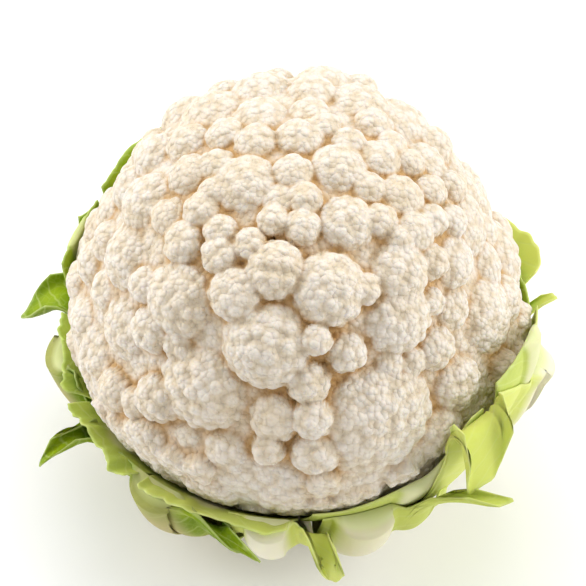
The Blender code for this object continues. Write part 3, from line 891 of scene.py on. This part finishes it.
class LeafLine:
    """The smooth line that the leaves follow upwards, by its length in metres."""

    corners_mm: tuple[tuple[float, float], ...] = (
        (31.5, 19), (40, 20.4), (48, 23.5), (62, 33), (73.5, 45),
        (82, 58.5), (86.8, 73), (88.6, 88), (87.5, 104),
    )  # fmt: skip
    steps_each: int = 20
    slope_step: float = 2 * MM

    def __init__(self) -> None:
        """Draws the line through its corners."""
        corners = np.array(self.corners_mm, float) * MM
        padded = np.vstack([2 * corners[0] - corners[1], corners, 2 * corners[-1] - corners[-2]])
        pieces = []
        for a, b, c, d in zip(padded, padded[1:], padded[2:], padded[3:]):
            t = np.linspace(0, 1, self.steps_each, endpoint=False)[:, None]
            square = (2 * a - 5 * b + 4 * c - d) * t**2
            cube = (3 * b - a - 3 * c + d) * t**3
            pieces.append(0.5 * (2 * b + (c - a) * t + square + cube))
        self.points = np.vstack([*pieces, corners[-1:]])
        spans = np.linalg.norm(np.diff(self.points, axis=0), axis=1)
        self.length = np.concatenate([[0], np.cumsum(spans)])

    def place(self, length: np.ndarray) -> tuple[np.ndarray, np.ndarray]:
        """Radius and height at these lengths.

        Args:
            length: Lengths along the line.

        Returns:
            The radii and the heights.
        """
        radius = np.interp(length, self.length, self.points[:, 0])
        return radius, np.interp(length, self.length, self.points[:, 1])

    def at(self, length: np.ndarray) -> tuple[np.ndarray, np.ndarray, np.ndarray, np.ndarray]:
        """Radius, height, and the two parts of the upward unit tangent at these lengths.

        Args:
            length: Lengths along the line.

        Returns:
            The radii, the heights, and the tangents' outward and upward parts.
        """
        radius, height = self.place(length)
        low = self.place(np.clip(length - self.slope_step, 0, self.length[-1]))
        high = self.place(np.clip(length + self.slope_step, 0, self.length[-1]))
        across = high[0] - low[0]
        upward = high[1] - low[1]
        size = np.hypot(across, upward)
        return radius, height, across / size, upward / size

    def reach_from(self, middle_height: float, ways: np.ndarray) -> np.ndarray:
        """How far rays from a point on the axis go before they meet the line.

        Args:
            middle_height: The point's height.
            ways: Unit vectors.

        Returns:
            One length for each, endless where a ray misses the line.
        """
        radius = self.points[:, 0]
        height = self.points[:, 1] - middle_height
        tilts = np.arctan2(radius, height)[::-1]
        reach = np.hypot(radius, height)[::-1]
        return np.interp(np.arccos(np.clip(ways[:, 2], -1, 1)), tilts, reach, left=np.inf, right=np.inf)


class Ring(Enum):
    """Which ring a leaf stands in."""

    INNER = 0
    OUTER = 1


@dataclass(frozen=True)
class Tongue:
    """A strip of a wing that is longer than the rest and curls outwards.

    at and half are along the leaf's width, from -1 to 1. length, curl_from and curl are in
    millimetres: how much longer it is, where along the leaf it starts to curl, and its radius.
    most_turn is how far it curls, in degrees, and lean how many degrees it shifts sideways for
    each 10 mm that it is free. fray is how ragged its end is, and wave how far it ripples.
    """

    at: float
    half: float
    length: float
    curl_from: float
    curl: float
    most_turn: float = 150.0
    lean: float = 0.0
    fray: float = 4.0
    wave: float = 1.0


@dataclass(frozen=True)
class Leaf:
    """One leaf: its azimuth and its reach to each side in degrees, and its lengths in millimetres."""

    name: str
    ring: Ring
    azimuth: float
    right: float
    left: float
    length: float
    right_rise: float = 3.0
    left_rise: float = 3.0
    rib: float = 4.0
    rib_half: float = 9.0
    tongues: tuple[Tongue, ...] = ()
    # How pale a leaf is drawn: partly its own paler colour, partly painted light that lightens leaves lying
    # in shade.
    brightness: float = 0.0


INNER_LEAVES: tuple[Leaf, ...] = (
    Leaf("leaf_inner_1", Ring.INNER, 132, 16, 14, 103, -5, 1,
         tongues=(Tongue(0, 1.3, 0, 84, 80, 25, 0, 0, 0.3),)),
    Leaf("leaf_inner_2", Ring.INNER, 160, 13, 12, 92),
    Leaf("leaf_inner_3", Ring.INNER, 187, 13, 14, 73,
         tongues=(Tongue(0, 2, 0, 60, 26, 35, 0, 2.0, 1.2),), brightness=0.3),
    Leaf("leaf_inner_4", Ring.INNER, 214, 15, 13, 73,
         tongues=(Tongue(0, 2, 0, 59, 24, 40, 0, 2.5, 1.4),), brightness=0.4),
    Leaf("leaf_inner_5", Ring.INNER, 246, 25, 17, 73,
         tongues=(Tongue(0, 2, 0, 59, 24, 40, 0, 2.5, 1.4),), brightness=0.6),
    Leaf("leaf_inner_6", Ring.INNER, 300, 19, 30, 81, 22, -10, brightness=0.6),
    Leaf("leaf_inner_7", Ring.INNER, 340, 18, 20, 108, -14, 1, brightness=0.5),
    Leaf("leaf_inner_8", Ring.INNER, 18, 20, 20, 80),
    Leaf("leaf_inner_9", Ring.INNER, 58, 20, 20, 88),
    Leaf("leaf_inner_10", Ring.INNER, 95, 23, 17, 94),
)  # fmt: skip
OUTER_LEAVES: tuple[Leaf, ...] = (
    Leaf("leaf_outer_1", Ring.OUTER, 183, 17, 25, 68, 4, 0, 11, 13,
         (Tongue(-0.68, 0.34, 25, 62, 9, 95, fray=7.0, wave=1.8),)),
    Leaf("leaf_outer_2", Ring.OUTER, 234, 20, 29, 68, 2, 0, 11, 13.5,
         (Tongue(-0.90, 0.09, 21, 60, 16, 115), Tongue(0.64, 0.32, 8, 64, 9, 95, 11)), 0.0),
    Leaf("leaf_outer_3", Ring.OUTER, 263, 14, 11, 68, 0, 0, 9, 9.5,
         (Tongue(0.80, 0.26, 36, 63, 5, 165, 2),), 0.9),
    Leaf("leaf_outer_4", Ring.OUTER, 287, 24, 12, 68, 0, 0, 10, 12.5,
         (Tongue(0.58, 0.14, 33, 69, 26, 70, 4.5),), 0.7),
    Leaf("leaf_outer_5", Ring.OUTER, 350, 22, 48, 76, -2, 32, 13, 12.5,
         (Tongue(-0.80, 0.20, 24, 101, 4, 170, -2.4, 4, 0.4), Tongue(0.72, 0.14, 16, 70, 24, 45)), 0.85),
    Leaf("leaf_outer_6", Ring.OUTER, 36, 27, 26, 82, 2, 2, 10, 12.5,
         (Tongue(-0.55, 0.6, 3, 68, 24, 18),), 1.0),
    Leaf("leaf_outer_7", Ring.OUTER, 88, 26, 26, 82, 3, 3, 10, 12.5, (), 0.4),
    Leaf("leaf_outer_8", Ring.OUTER, 136, 21, 23, 88, 4, 3, 10, 12.5, (), 0.1),
)  # fmt: skip


def turn_between(azimuth: np.ndarray | float, middle: float) -> np.ndarray:
    """The signed angle from middle to azimuth, in degrees, from -180 to 180."""
    return (azimuth - middle + 180) % 360 - 180


@dataclass
class LeafGrid:
    """A leaf's points, in rows from the stalk to its end and columns from its left to its right.

    Attributes:
        across: The place along the leaf's width, from -1 to 1.
        length: How far along the leaf it lies, in metres.
        held: How much of that follows the leaf line. The rest is free.
        free: The rest.
        azimuth: Its azimuth in degrees, before a free part leans sideways.
        border: How near the rim it lies, 0 on the rim itself.
        bend: The curvature of the free part.
        most_turn: How far that turns, in radians.
        lean: How many degrees the free part shifts sideways for each metre.
        ripple: How far it ripples, in millimetres.
    """

    across: np.ndarray
    length: np.ndarray
    held: np.ndarray
    free: np.ndarray
    azimuth: np.ndarray
    border: np.ndarray
    bend: np.ndarray
    most_turn: np.ndarray
    lean: np.ndarray
    ripple: np.ndarray


@dataclass
class LeafRings:
    """Both rings of leaves that cup the curd."""

    line: LeafLine = field(default_factory=LeafLine)
    # The thin blade.
    blade: float = 1.0 * MM
    blade_at_stalk: float = 3.0 * MM
    blade_thins_over: float = 26 * MM
    # The thick rib on its middle.
    rib_wider_at_stalk: float = 1.15
    rib_width_above: float = 0.95
    rib_narrows_over: float = 60 * MM
    rib_at_stalk: float = 0.68
    rib_grows_over: float = 45 * MM
    rib_roundness: float = 0.75
    rib_ends_over: float = 12 * MM
    # The end, the wings beside it, and its tongues.
    end_narrows_from: float = 0.75
    end_narrower: float = 0.1
    side_rises_by: float = 0.77
    tongue_flank: float = 0.62
    lean_per: float = 10 * MM
    # How far the outer leaves bow off the inner ones, and close up again at the rim.
    gap: float = 1.9 * MM
    bow: float = 4.5 * MM
    bow_over: float = 67 * MM
    bow_skew: float = 1.3
    rim_closes: float = 0.85
    rim_from: float = 44 * MM
    rim_over: float = 20 * MM
    # How one leaf meets the next, and from where the outer ones lie over each other.
    seam_gap: float = 0.6 * MM
    spread_from: float = 12 * MM
    spread_over: float = 22 * MM
    tuck_lead: float = 8.0
    tuck_gap: float = 2.3 * MM
    # The ragged end that the knife left.
    knife_fray: float = 1.2
    knife_turns: tuple[int, ...] = (3, 7, 13, 23, 37)
    fray_by: float = 0.45
    fray_in_middle: float = 0.35
    # The ripples of the free wings.
    ripple: float = 0.25
    ripples_over: float = 10 * MM
    ripple_turns: tuple[int, ...] = (9, 15, 22)
    ripple_by: float = 3.0
    ripple_length: float = 9 * MM
    fold_turns: float = 8.0
    fold_length: float = 5 * MM
    fold_by: float = 0.35
    # The rounded rim, and the pale cut along it.
    side_border: float = 0.5
    rim_thickness: float = 0.55
    rim_rounds_over: float = 0.03
    cut_over: float = 0.018
    cut_shows: float = 0.3
    cut_shows_on_rib: float = 0.5
    # How the pale rib runs into the wings, and greens towards its cut end.
    pale_rib_by: float = 1.7
    pale_rib_less: float = 0.25
    pale_foot: float = 24 * MM
    greens_by: float = 0.45
    greens_from: float = 52 * MM
    greens_over: float = 14 * MM
    # The grid.
    rows: int = 56
    columns: int = 84
    row_crowding: float = 0.9

    def thickness(self, leaf: Leaf, azimuth: np.ndarray, length: np.ndarray) -> np.ndarray:
        """How thick the leaf is at an azimuth in degrees and a length along it in metres.

        Args:
            leaf: The leaf.
            azimuth: Azimuths in degrees.
            length: Lengths along the leaf in metres.

        Returns:
            One thickness for each place.
        """
        grown = soft_step(length / self.rib_grows_over)
        rib = leaf.rib * MM * (self.rib_at_stalk + (1 - self.rib_at_stalk) * grown)
        thins = soft_step(length / self.blade_thins_over)
        blade = self.blade_at_stalk + (self.blade - self.blade_at_stalk) * thins
        return blade + (rib - blade) * self.rib_share(leaf, azimuth, length)

    def rib_share(self, leaf: Leaf, azimuth: np.ndarray, length: np.ndarray) -> np.ndarray:
        """1 on the middle of the rib and 0 beside it.

        Args:
            leaf: The leaf.
            azimuth: Azimuths in degrees.
            length: Lengths along the leaf in metres.

        Returns:
            One share for each place.
        """
        aside = np.radians(turn_between(azimuth, leaf.azimuth)) * self.line.at(length)[0]
        narrows = soft_step(length / self.rib_narrows_over)
        narrower = self.rib_width_above - self.rib_wider_at_stalk
        half = leaf.rib_half * MM * (self.rib_wider_at_stalk + narrower * narrows)
        return np.clip(1 - (aside / half) ** 2, 0, 1) ** self.rib_roundness

    def neighbour(self, leaf: Leaf, step: int) -> Leaf:
        """The leaf that many places along in the same ring."""
        ring = OUTER_LEAVES if leaf.ring is Ring.OUTER else INNER_LEAVES
        return ring[(ring.index(leaf) + step) % len(ring)]

    def reaches(self, leaf: Leaf, length: np.ndarray) -> list[np.ndarray]:
        """How many degrees the leaf reaches to its right and left, at a length along it.

        Args:
            leaf: The leaf.
            length: Lengths along the leaf in metres.

        Returns:
            The reach to the right and to the left.
        """
        spread = soft_step((length - self.spread_from) / self.spread_over) * leaf.ring.value
        gap = np.degrees(self.seam_gap / self.line.at(length)[0]) / 2
        found = []
        for step, own in ((1, leaf.right), (-1, leaf.left)):
            other = self.neighbour(leaf, step)
            facing = other.left if step > 0 else other.right
            between = abs(turn_between(other.azimuth, leaf.azimuth))
            seam = np.minimum(own, between * own / (own + facing) - gap)
            found.append(seam + (own - seam) * spread)
        return found

    def start_height(self, leaf: Leaf, azimuth: np.ndarray, length: np.ndarray) -> np.ndarray:
        """How far outside the leaf line the leaf's inner face lies.

        Args:
            leaf: The leaf.
            azimuth: Azimuths in degrees.
            length: Lengths along the leaf in metres.

        Returns:
            One distance for each place.
        """
        if leaf.ring is Ring.INNER:
            return np.zeros(np.broadcast(azimuth, length).shape)
        bow = self.bow * np.sin(math.pi * np.clip(length / self.bow_over, 0, 1) ** self.bow_skew)
        under = np.zeros(np.broadcast(azimuth, length).shape)
        for inner in INNER_LEAVES:
            under = np.maximum(under, self.thickness(inner, azimuth, length))
        following = self.neighbour(leaf, 1)
        past = turn_between(azimuth, following.azimuth) + following.left + self.tuck_lead
        over = soft_step(past / self.tuck_lead) * (self.thickness(following, azimuth, length) + self.tuck_gap)
        # The rims close up a little, so that little shade shows between the rings.
        gap = self.gap * (1 - self.rim_closes * soft_step((length - self.rim_from) / self.rim_over))
        return under + gap + bow + over * soft_step(length / self.spread_from)

    def grid(self, leaf: Leaf, draw: np.random.Generator) -> LeafGrid:
        """Lays a leaf's grid, with the values that its tongues give each point.

        Args:
            leaf: The leaf.
            draw: What the ragged end is drawn from.

        Returns:
            The grid.
        """
        across, along = np.meshgrid(
            np.linspace(-1, 1, self.columns + 1), np.linspace(0, 1, self.rows + 1) ** self.row_crowding
        )
        side = soft_step(np.abs(across) / self.side_rises_by)
        top = leaf.length + side * np.where(across > 0, leaf.right_rise, leaf.left_rise)
        bend = np.zeros_like(across)
        bend_from = np.full_like(across, self.line.length[-1])
        most_turn = np.zeros_like(across)
        lean = np.zeros_like(across)
        fray = np.full_like(across, self.knife_fray)
        ripple = np.full_like(across, self.ripple)
        for tongue in leaf.tongues:
            share = soft_step((1 - np.abs(across - tongue.at) / tongue.half) / self.tongue_flank)
            top = top + tongue.length * share
            bend = np.maximum(bend, share / (tongue.curl * MM))
            bend_from = np.where(share > 0, tongue.curl_from * MM, bend_from)
            most_turn = np.where(share > 0, math.radians(tongue.most_turn), most_turn)
            lean = np.where(share > 0, tongue.lean / self.lean_per, lean)
            fray = fray + tongue.fray * share
            ripple = np.maximum(ripple, tongue.wave * share)
        # The knife left the end uneven, and the thin wings frayed.
        ragged = np.zeros_like(across)
        for turns in self.knife_turns:
            ragged = ragged + np.sin(across * turns + draw.uniform(*PHASES)) / turns**0.5
        frays = self.fray_in_middle + (1 - self.fray_in_middle) * side
        top = top + self.fray_by * ragged * fray * frays
        length = along * top * MM
        held = np.minimum(length, bend_from)
        right, left = self.reaches(leaf, held)
        near_end = soft_step((along - self.end_narrows_from) / (1 - self.end_narrows_from))
        narrow = 1 - self.end_narrower * near_end * np.abs(across)
        azimuth = leaf.azimuth + across * np.where(across > 0, right, left) * narrow
        border = np.minimum(1 - along, (1 - np.abs(across)) * self.side_border)
        return LeafGrid(
            across, length, held, length - held, azimuth, border, bend, most_turn, lean, ripple
        )

    def inner_face(self, leaf: Leaf, grid: LeafGrid) -> np.ndarray:
        """Where the points of a leaf's inner face lie: up the leaf line, and then along the curl.

        Args:
            leaf: The leaf.
            grid: Its grid.

        Returns:
            One row of x, y, z for each point of the grid.
        """
        radius, height, over, up = self.line.at(grid.held)
        out = self.start_height(leaf, grid.azimuth, grid.held)
        angle = np.minimum(grid.free * grid.bend, grid.most_turn)
        curve = np.maximum(grid.bend, 1e-6)
        curls = grid.bend > 0
        straight = grid.free - np.where(curls, angle / curve, 0)
        rise = np.where(curls, np.sin(angle) / curve, 0) + straight * np.cos(angle)
        swing = np.where(curls, (1 - np.cos(angle)) / curve, 0) + straight * np.sin(angle)
        far = radius + out * up + rise * over + swing * up
        high = height - out * over + rise * up - swing * over
        spin = np.radians(grid.azimuth + grid.lean * (grid.free + swing) / 2)
        return np.stack([far * np.cos(spin), far * np.sin(spin), high], axis=-1)

    def waves(self, grid: LeafGrid, draw: np.random.Generator) -> np.ndarray:
        """How far each point of the thin wings waves in and out: most where they are free.

        Args:
            grid: The leaf's grid.
            draw: What the waves' phases are drawn from.

        Returns:
            One distance for each point of the grid.
        """
        phase = draw.uniform(*PHASES)
        waves = np.sin(grid.length / self.fold_length + grid.across * self.fold_turns + phase) * self.fold_by
        for turns in self.ripple_turns:
            wave = np.sin(grid.across * turns + grid.length / self.ripple_length + draw.uniform(*PHASES))
            waves = waves + self.ripple_by / turns * wave
        return waves * soft_step(grid.free / self.ripples_over) * grid.ripple * MM

    def note_looks(self, leaf: Leaf, grid: LeafGrid, mesh: bpy.types.Mesh) -> None:
        """Keeps where each point of both faces grew, and how much of it is rib and cut edge.

        Args:
            leaf: The leaf.
            grid: Its grid.
            mesh: Its mesh.
        """
        aside = np.radians(turn_between(grid.azimuth, leaf.azimuth)) * self.line.at(grid.held)[0]
        rib = self.rib_share(leaf, grid.azimuth, grid.held) * (1 - soft_step(grid.free / self.rib_ends_over))
        rib = soft_step(rib * self.pale_rib_by - self.pale_rib_less)
        # The rib greens towards the knife cut, and near the stalk the whole leaf is pale.
        greens = self.greens_by * (1 - leaf.brightness)
        rib = rib * (1 - greens * soft_step((grid.length - self.greens_from) / self.greens_over))
        rib = np.maximum(rib, 1 - soft_step((grid.length - self.pale_foot) / self.pale_foot))
        cut = 1 - soft_step(grid.border / self.cut_over)
        cut = cut * (self.cut_shows + self.cut_shows_on_rib * rib)
        # The leaf's brightness: partly its own paleness, partly painted light on leaves in shade.
        bright = np.full_like(rib, leaf.brightness)
        for name, values in (
            ("leaf_place", (aside, grid.length, np.zeros_like(aside))),
            ("leaf_shape", (rib, cut, bright)),
        ):
            face = np.stack(values, axis=-1).reshape(-1, 3)
            note_on_points(mesh, name, np.vstack([face, face]))

    def build(self, leaf: Leaf, finish: bpy.types.Material) -> bpy.types.Object:
        """Builds one leaf.

        Args:
            leaf: The leaf.
            finish: Its material.

        Returns:
            The leaf's object.
        """
        draw = np.random.default_rng(round(leaf.azimuth) + 1000 * leaf.ring.value)
        grid = self.grid(leaf, draw)
        inner = self.inner_face(leaf, grid)
        thick = self.thickness(leaf, grid.azimuth, grid.held)
        thick = self.blade + (thick - self.blade) * (1 - soft_step(grid.free / self.rib_ends_over))
        # Ends round off, so that the cut shows as a soft rim and not as a sharp slab.
        round_off = soft_step(grid.border / self.rim_rounds_over)
        thick = thick * (self.rim_thickness + (1 - self.rim_thickness) * round_off)
        normal = np.cross(np.gradient(inner, axis=1), np.gradient(inner, axis=0))
        normal /= np.maximum(np.linalg.norm(normal, axis=-1, keepdims=True), 1e-9)
        inner = inner + normal * self.waves(grid, draw)[..., None]
        mesh = self.sheet(leaf.name, inner, inner + normal * thick[..., None])
        self.note_looks(leaf, grid, mesh)
        return piece(f"{leaf.name}_wings", mesh, finish, leaf.name)

    def sheet(self, name: str, inner: np.ndarray, outer: np.ndarray) -> bpy.types.Mesh:
        """A closed mesh between two grids of points.

        Args:
            name: The mesh's name.
            inner: The grid of the inner face.
            outer: The grid of the outer face.

        Returns:
            The mesh, whose points are the inner grid's and then the outer grid's.
        """
        rows, columns = inner.shape[:2]
        number = np.arange(rows * columns).reshape(rows, columns)
        a, b, c, d = number[:-1, :-1], number[:-1, 1:], number[1:, 1:], number[1:, :-1]
        front = np.stack([a, b, c, d], axis=-1).reshape(-1, 4)
        back = front[:, ::-1] + rows * columns
        border = np.concatenate([number[0, :], number[1:, -1], number[-1, -2::-1], number[-2:0:-1, 0]])
        following = np.roll(border, -1)
        rim = np.stack([following, border, border + rows * columns, following + rows * columns], axis=-1)
        points = np.vstack([inner.reshape(-1, 3), outer.reshape(-1, 3)])
        faces = np.vstack([front[:, ::-1], back[:, ::-1], rim[:, ::-1]])
        return mesh_from(name, points, faces)


@dataclass
class Stalk:
    """The short stalk with its flat knife cut, which the head stands on."""

    foot_radius: float = 27 * MM
    top_radius: float = 31 * MM
    top_height: float = 24.6 * MM
    edge: float = 1.5 * MM
    sectors: int = 120
    face_rings: int = 22
    edge_rings: int = 6
    wall_rings: int = 16
    ring_at: float = 0.8
    ring_half: float = 0.07
    ring_shows: float = 0.7
    pith_ends_at: float = 0.9
    pith_ends_over: float = 0.08
    first_share: float = 0.04
    ridge: float = 0.35 * MM
    ridges: int = 9
    ridges_drift: int = 3
    drift_by: float = 0.8
    plain_below: float = 4 * MM
    plain_above: float = 3 * MM

    def build(self, finish: bpy.types.Material) -> bpy.types.Object:
        """Builds the stalk.

        Args:
            finish: Its material.

        Returns:
            The stalk's object.
        """
        flat = self.foot_radius - self.edge
        face = [(share * flat, 0.0) for share in np.linspace(self.first_share, 1, self.face_rings)]
        bend = [
            (self.foot_radius - self.edge * (1 - math.sin(a)), self.edge * (1 - math.cos(a)))
            for a in np.linspace(0, math.pi / 2, self.edge_rings)[1:]
        ]
        wider = self.top_radius - self.foot_radius
        taller = self.top_height - self.edge
        wall = [
            (self.foot_radius + wider * t, self.edge + taller * t)
            for t in np.linspace(0, 1, self.wall_rings)[1:]
        ]
        lid = [(share * self.top_radius, self.top_height) for share in (0.7, 0.35, self.first_share)]
        profile = np.array(face + bend + wall + lid)
        turn = np.linspace(0, 2 * math.pi, self.sectors, endpoint=False)
        radius = profile[:, :1] * np.ones_like(turn)
        height = profile[:, 1:] * np.ones_like(turn)
        # The skin between the leaf scars is a little ridged.
        skin = soft_step((height - self.edge) / self.plain_below)
        skin = skin * soft_step((self.top_height - height) / self.plain_above)
        drift = self.drift_by * np.sin(self.ridges_drift * turn)
        radius = radius - skin * self.ridge * (1 + np.sin(self.ridges * turn + drift))
        points = np.stack([radius * np.cos(turn), radius * np.sin(turn), height], axis=-1).reshape(-1, 3)
        rows = len(profile)
        number = np.arange(rows * self.sectors).reshape(rows, self.sectors)
        beside = np.roll(number, -1, axis=1)
        faces = np.stack([number[:-1], number[1:], beside[1:], beside[:-1]], axis=-1).reshape(-1, 4)
        ends = []
        for row, up in ((number[0], False), (number[-1], True)):
            centre = len(points)
            points = np.vstack([points, points[row].mean(axis=0)])
            middle = np.full(self.sectors // 2, centre)
            halves = np.stack([middle, row[1::2], row[::2], np.roll(row, 1)[::2]], axis=-1)
            ends.append(halves[:, ::-1] if up else halves)
        mesh = mesh_from("stalk_cut", points, np.vstack([faces, *ends]))
        across = np.hypot(points[:, 0], points[:, 1]) / self.foot_radius
        low = 1 - soft_step(points[:, 2] / self.edge)
        pith = low * (1 - soft_step((across - self.pith_ends_at) / self.pith_ends_over))
        ring = low * soft_step(1 - np.abs(across - self.ring_at) / self.ring_half)
        zone = np.stack([pith, ring * self.ring_shows, np.zeros_like(ring)], axis=-1)
        note_on_points(mesh, "stalk_zone", zone)
        return piece("stalk_cut", mesh, finish, "stalk")


@dataclass
class Studio:
    """A white table, soft light from above and from both sides, and the camera.

    lights holds each light's name, where it hangs, its side and its power in watts.
    """

    table_half: float = 3.0
    sky: str = "#FFFFFF"
    sky_strength: float = 0.62
    eye_elevation: float = 50.0
    eye_distance: float = 0.8
    look_height: float = 85 * MM
    focal_pixels: float = 2161.0
    picture_pixels: float = 586.0
    sensor_mm: float = 36.0
    middle_pixel: tuple[float, float] = (297.0, 292.0)
    lights: tuple[tuple[str, tuple[float, float, float], float, float], ...] = (
        ("top", (0.0, 0.7, 1.15), 1.0, 6.5),
        ("left", (-1.0, 0.3, 0.75), 0.9, 9.5),
        ("right", (1.05, 0.0, 0.7), 0.9, 9.0),
    )

    def light(self, name: str, place: tuple[float, float, float], size: float, power: float) -> None:
        """Adds a soft square light that faces the head.

        Args:
            name: Its name.
            place: Where it hangs.
            size: The side of the square.
            power: Its power in watts.
        """
        lamp = bpy.data.lights.new(name, "AREA")
        lamp.size = size
        lamp.energy = power
        made = bpy.data.objects.new(name, lamp)
        made.location = place
        away = Vector(place) - Vector((0, 0, self.look_height))
        made.rotation_euler = away.to_track_quat("Z", "Y").to_euler()
        bpy.context.scene.collection.objects.link(made)

    def build(self) -> None:
        """Builds the table, the lights and the camera."""
        half = self.table_half
        corners = np.array([(-half, -half, 0), (half, -half, 0), (half, half, 0), (-half, half, 0)], float)
        mesh = mesh_from("table", corners, np.array([[0, 1, 2, 3]]))
        mesh.materials.append(TableTop().make())
        table = bpy.data.objects.new("table", mesh)
        bpy.context.scene.collection.objects.link(table)
        world = bpy.data.worlds.new("soft_white_room")
        world.use_nodes = True
        background = world.node_tree.nodes["Background"]
        background.inputs["Color"].default_value = linear(self.sky)
        background.inputs["Strength"].default_value = self.sky_strength
        bpy.context.scene.world = world
        for name, place, size, power in self.lights:
            self.light(name, place, size, power)
        bpy.context.scene.view_settings.view_transform = "Standard"
        elevation = math.radians(self.eye_elevation)
        lens = bpy.data.cameras.new("camera")
        lens.sensor_width = self.sensor_mm
        lens.lens = self.focal_pixels / self.picture_pixels * self.sensor_mm
        half_picture = self.picture_pixels / 2
        lens.shift_x = -(self.middle_pixel[0] - half_picture) / self.picture_pixels
        lens.shift_y = (self.middle_pixel[1] - half_picture) / self.picture_pixels
        camera = bpy.data.objects.new("camera", lens)
        offset = Vector((0, -math.cos(elevation), math.sin(elevation))) * self.eye_distance
        camera.location = Vector((0, 0, self.look_height)) + offset
        camera.rotation_euler = (math.pi / 2 - elevation, 0, 0)
        bpy.context.scene.collection.objects.link(camera)
        bpy.context.scene.camera = camera


def main() -> None:
    """Builds the head and the studio."""
    logging.basicConfig(level=logging.INFO, format="%(name)s: %(message)s")
    rings = LeafRings()
    Curd().build(CurdFlesh().make(), rings.line)
    Stalk().build(StalkFlesh().make())
    pale = LeafFlesh("young_leaf_flesh", "#9DB62A", "#789A18", "#DDE080", "#CFD08E", "#F1EDD0").make()
    green = LeafFlesh("outer_leaf_flesh", "#8BA014", "#67820C", "#D8DE72", "#B9AF78", "#F2ECD6").make()
    for leaves, finish in ((INNER_LEAVES, pale), (OUTER_LEAVES, green)):
        for leaf in leaves:
            rings.build(leaf, finish)
    Studio().build()


if __name__ == "__main__":
    main()
